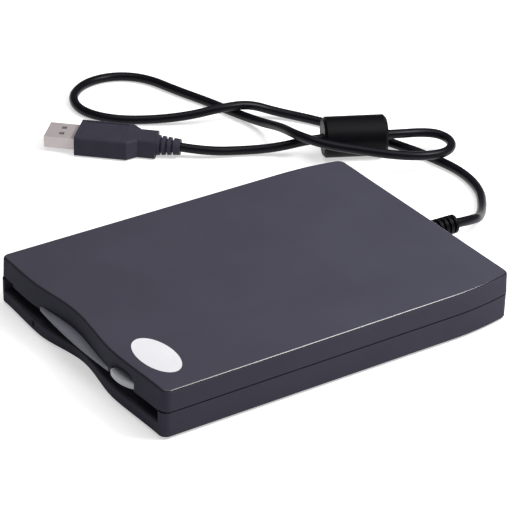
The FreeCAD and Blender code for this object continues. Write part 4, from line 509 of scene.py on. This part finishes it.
class FLOPPY_OT_cord_mouldings(bpy.types.Operator):
    """Finish the strain relief, the bead and the plug"""
    bl_idname = "floppy.cord_mouldings"
    bl_label = "Cord mouldings"

    def execute(self, context):
        settings = context.scene.floppy_cord
        # Soft PVC moulded on the cord: duller and blacker than the cord's jacket
        dress(soft_polymer("moulded_pvc", settings.moulding, 0.44, 0.07), "strain_relief",
              "ferrite_jacket")
        # The same in a tool with a fine finish: dark grey, with hardly any gloss
        dress(soft_polymer("grey_moulded_pvc", settings.grip, 0.4, 0.03), "plug_overmould")
        # Pressed steel under dull tin: the plating scatters light as paint does, so it is only
        # part metallic, and pinkish grey
        dress(worked_metal("dull_tin_plate", linear("#CDC3C3"), 0.42, metallic=0.35),
              "plug_shell")
        # Moulded nylon, seen through the shell's two holes; its grey is partly the nylon's own and
        # partly painted shade for the dim holes
        dress(satin_plastic("grey_nylon", linear("#68686C"), 0.45, 0.5 * MM), "plug_tongue")
        # Pressed contacts under gold: warm and shiny
        dress(worked_metal("gold_plate", linear("#D2A850"), 0.25), "plug_contacts")
        # Sintered ferrite: dark grey ceramic with a dull skin
        dress(satin_plastic("sintered_ferrite", linear("#2C2C2E"), 0.6, 0.4 * MM),
              "ferrite_core")
        return {"FINISHED"}


class FLOPPY_OT_mechanism(bpy.types.Operator):
    """Finish the sheet-metal frame, the slide, the disk holder and the head carriage"""
    bl_idname = "floppy.mechanism"
    bl_label = "Mechanism"

    def execute(self, context):
        # Rolled sheet under zinc: pale grey, with faint marks that run across the drive
        dress(worked_metal("zinc_sheet", linear("#9A9C98"), 0.45), "chassis", "drive_lid",
              "slide_plate", "disk_holder", "shutter_lever", "rod_clips", "upper_head_arm")
        # Turned or ground steel: shinier, with marks that run along the drive
        dress(worked_metal("turned_steel", linear("#A6A8AA"), 0.26, (14.0, 1.0, 1.0)),
              "holder_pins", "lever_pin", "guide_rods", "arm_pin", "lead_screw", "drive_pin",
              "board_screws", "stepper_motor")
        # Drawn wire: the finest marks
        dress(worked_metal("spring_wire", linear("#8C8E90"), 0.3, (1.0, 40.0, 1.0)),
              "flap_spring", "slide_springs", "lever_spring")
        # Pressed steel: smooth, and the palest of the steels
        dress(worked_metal("pressed_steel", linear("#BDBFBF"), 0.3), "spindle_rotor")
        # Magnet powder moulded in plastic: nearly black, with a fine dull grain
        dress(satin_plastic("bonded_magnet", linear("#2A2A2C"), 0.6, 0.3 * MM),
              "chucking_magnet")
        # Sintered bronze: brown and dull from its open pores
        dress(worked_metal("sintered_bronze", linear("#A07C48"), 0.45), "spindle_bearing")
        # Die-cast alloy: a cloudy grey skin with short marks in every direction
        dress(worked_metal("die_cast_alloy", linear("#929290"), 0.5, (2.0, 2.0, 2.0)),
              "head_carriage")
        # Lapped ceramic: a dark warm grey, polished
        dress(satin_plastic("ceramic_shoe", linear("#4C4842"), 0.2, 0.5 * MM), "lower_head",
              "upper_head")
        return {"FINISHED"}


class FLOPPY_OT_electronics(bpy.types.Operator):
    """Finish the boards, chips, coils, switches and the flat cable"""
    bl_idname = "floppy.electronics"
    bl_label = "Electronics"

    def execute(self, context):
        dress(solder_mask("green_solder_mask", linear("#1B4A2E")), "main_board",
              "interface_board")
        # Moulded epoxy: black with a fine dull grain
        dress(satin_plastic("moulded_epoxy", linear("#19191B"), 0.5, 0.3 * MM), "board_chips",
              "interface_chips", "switch_housings")
        # Cast epoxy: milky green, glossy
        dress(satin_plastic("diffused_epoxy", linear("#A8BEA2"), 0.25, 0.6 * MM), "status_led")
        dress(wound_copper("enamelled_copper", linear("#A86236")), "stator_coils")
        # Moulded acetal without dye: a warm white
        dress(satin_plastic("natural_acetal", linear("#DAD8D0"), 0.4, 0.5 * MM),
              "write_protect_plunger", "density_plunger", "disk_in_plunger")
        # Laminated polyester film: off-white with a soft shine
        dress(satin_plastic("polyester_ribbon", linear("#CFCCC2"), 0.35, 0.5 * MM),
              "ribbon_cable")
        return {"FINISHED"}


class FLOPPY_PT_panel(bpy.types.Panel):
    """Lists the drive's settings and steps."""
    bl_idname = "FLOPPY_PT_panel"
    bl_label = "Floppy Drive"
    bl_space_type = "VIEW_3D"
    bl_region_type = "UI"
    bl_category = "Floppy Drive"

    def draw(self, context):
        for group in SETTINGS:
            settings = getattr(context.scene, group)
            box = self.layout.box()
            for name in settings.__annotations__:
                box.prop(settings, name)
        for step in STEPS:
            self.layout.operator(step.bl_idname)


SETTINGS = {
    "floppy_casing": FloppyCasingSettings,
    "floppy_cord": FloppyCordSettings,
    "floppy_stage": FloppyStageSettings,
}
STEPS = (FLOPPY_OT_stage, FLOPPY_OT_cord, FLOPPY_OT_casing, FLOPPY_OT_cord_mouldings,
         FLOPPY_OT_mechanism, FLOPPY_OT_electronics)


def register():
    for kind in (*SETTINGS.values(), *STEPS, FLOPPY_PT_panel):
        bpy.utils.register_class(kind)
    for group, kind in SETTINGS.items():
        setattr(bpy.types.Scene, group, bpy.props.PointerProperty(type=kind))


def unregister():
    for group in SETTINGS:
        delattr(bpy.types.Scene, group)
    for kind in reversed((*SETTINGS.values(), *STEPS, FLOPPY_PT_panel)):
        bpy.utils.unregister_class(kind)


def main():
    """Runs every step in order."""
    register()
    bpy.ops.floppy.stage()
    bpy.ops.floppy.cord()
    bpy.ops.floppy.casing()
    bpy.ops.floppy.cord_mouldings()
    bpy.ops.floppy.mechanism()
    bpy.ops.floppy.electronics()
    bpy.context.view_layer.update()


if __name__ == "__main__":
    main()
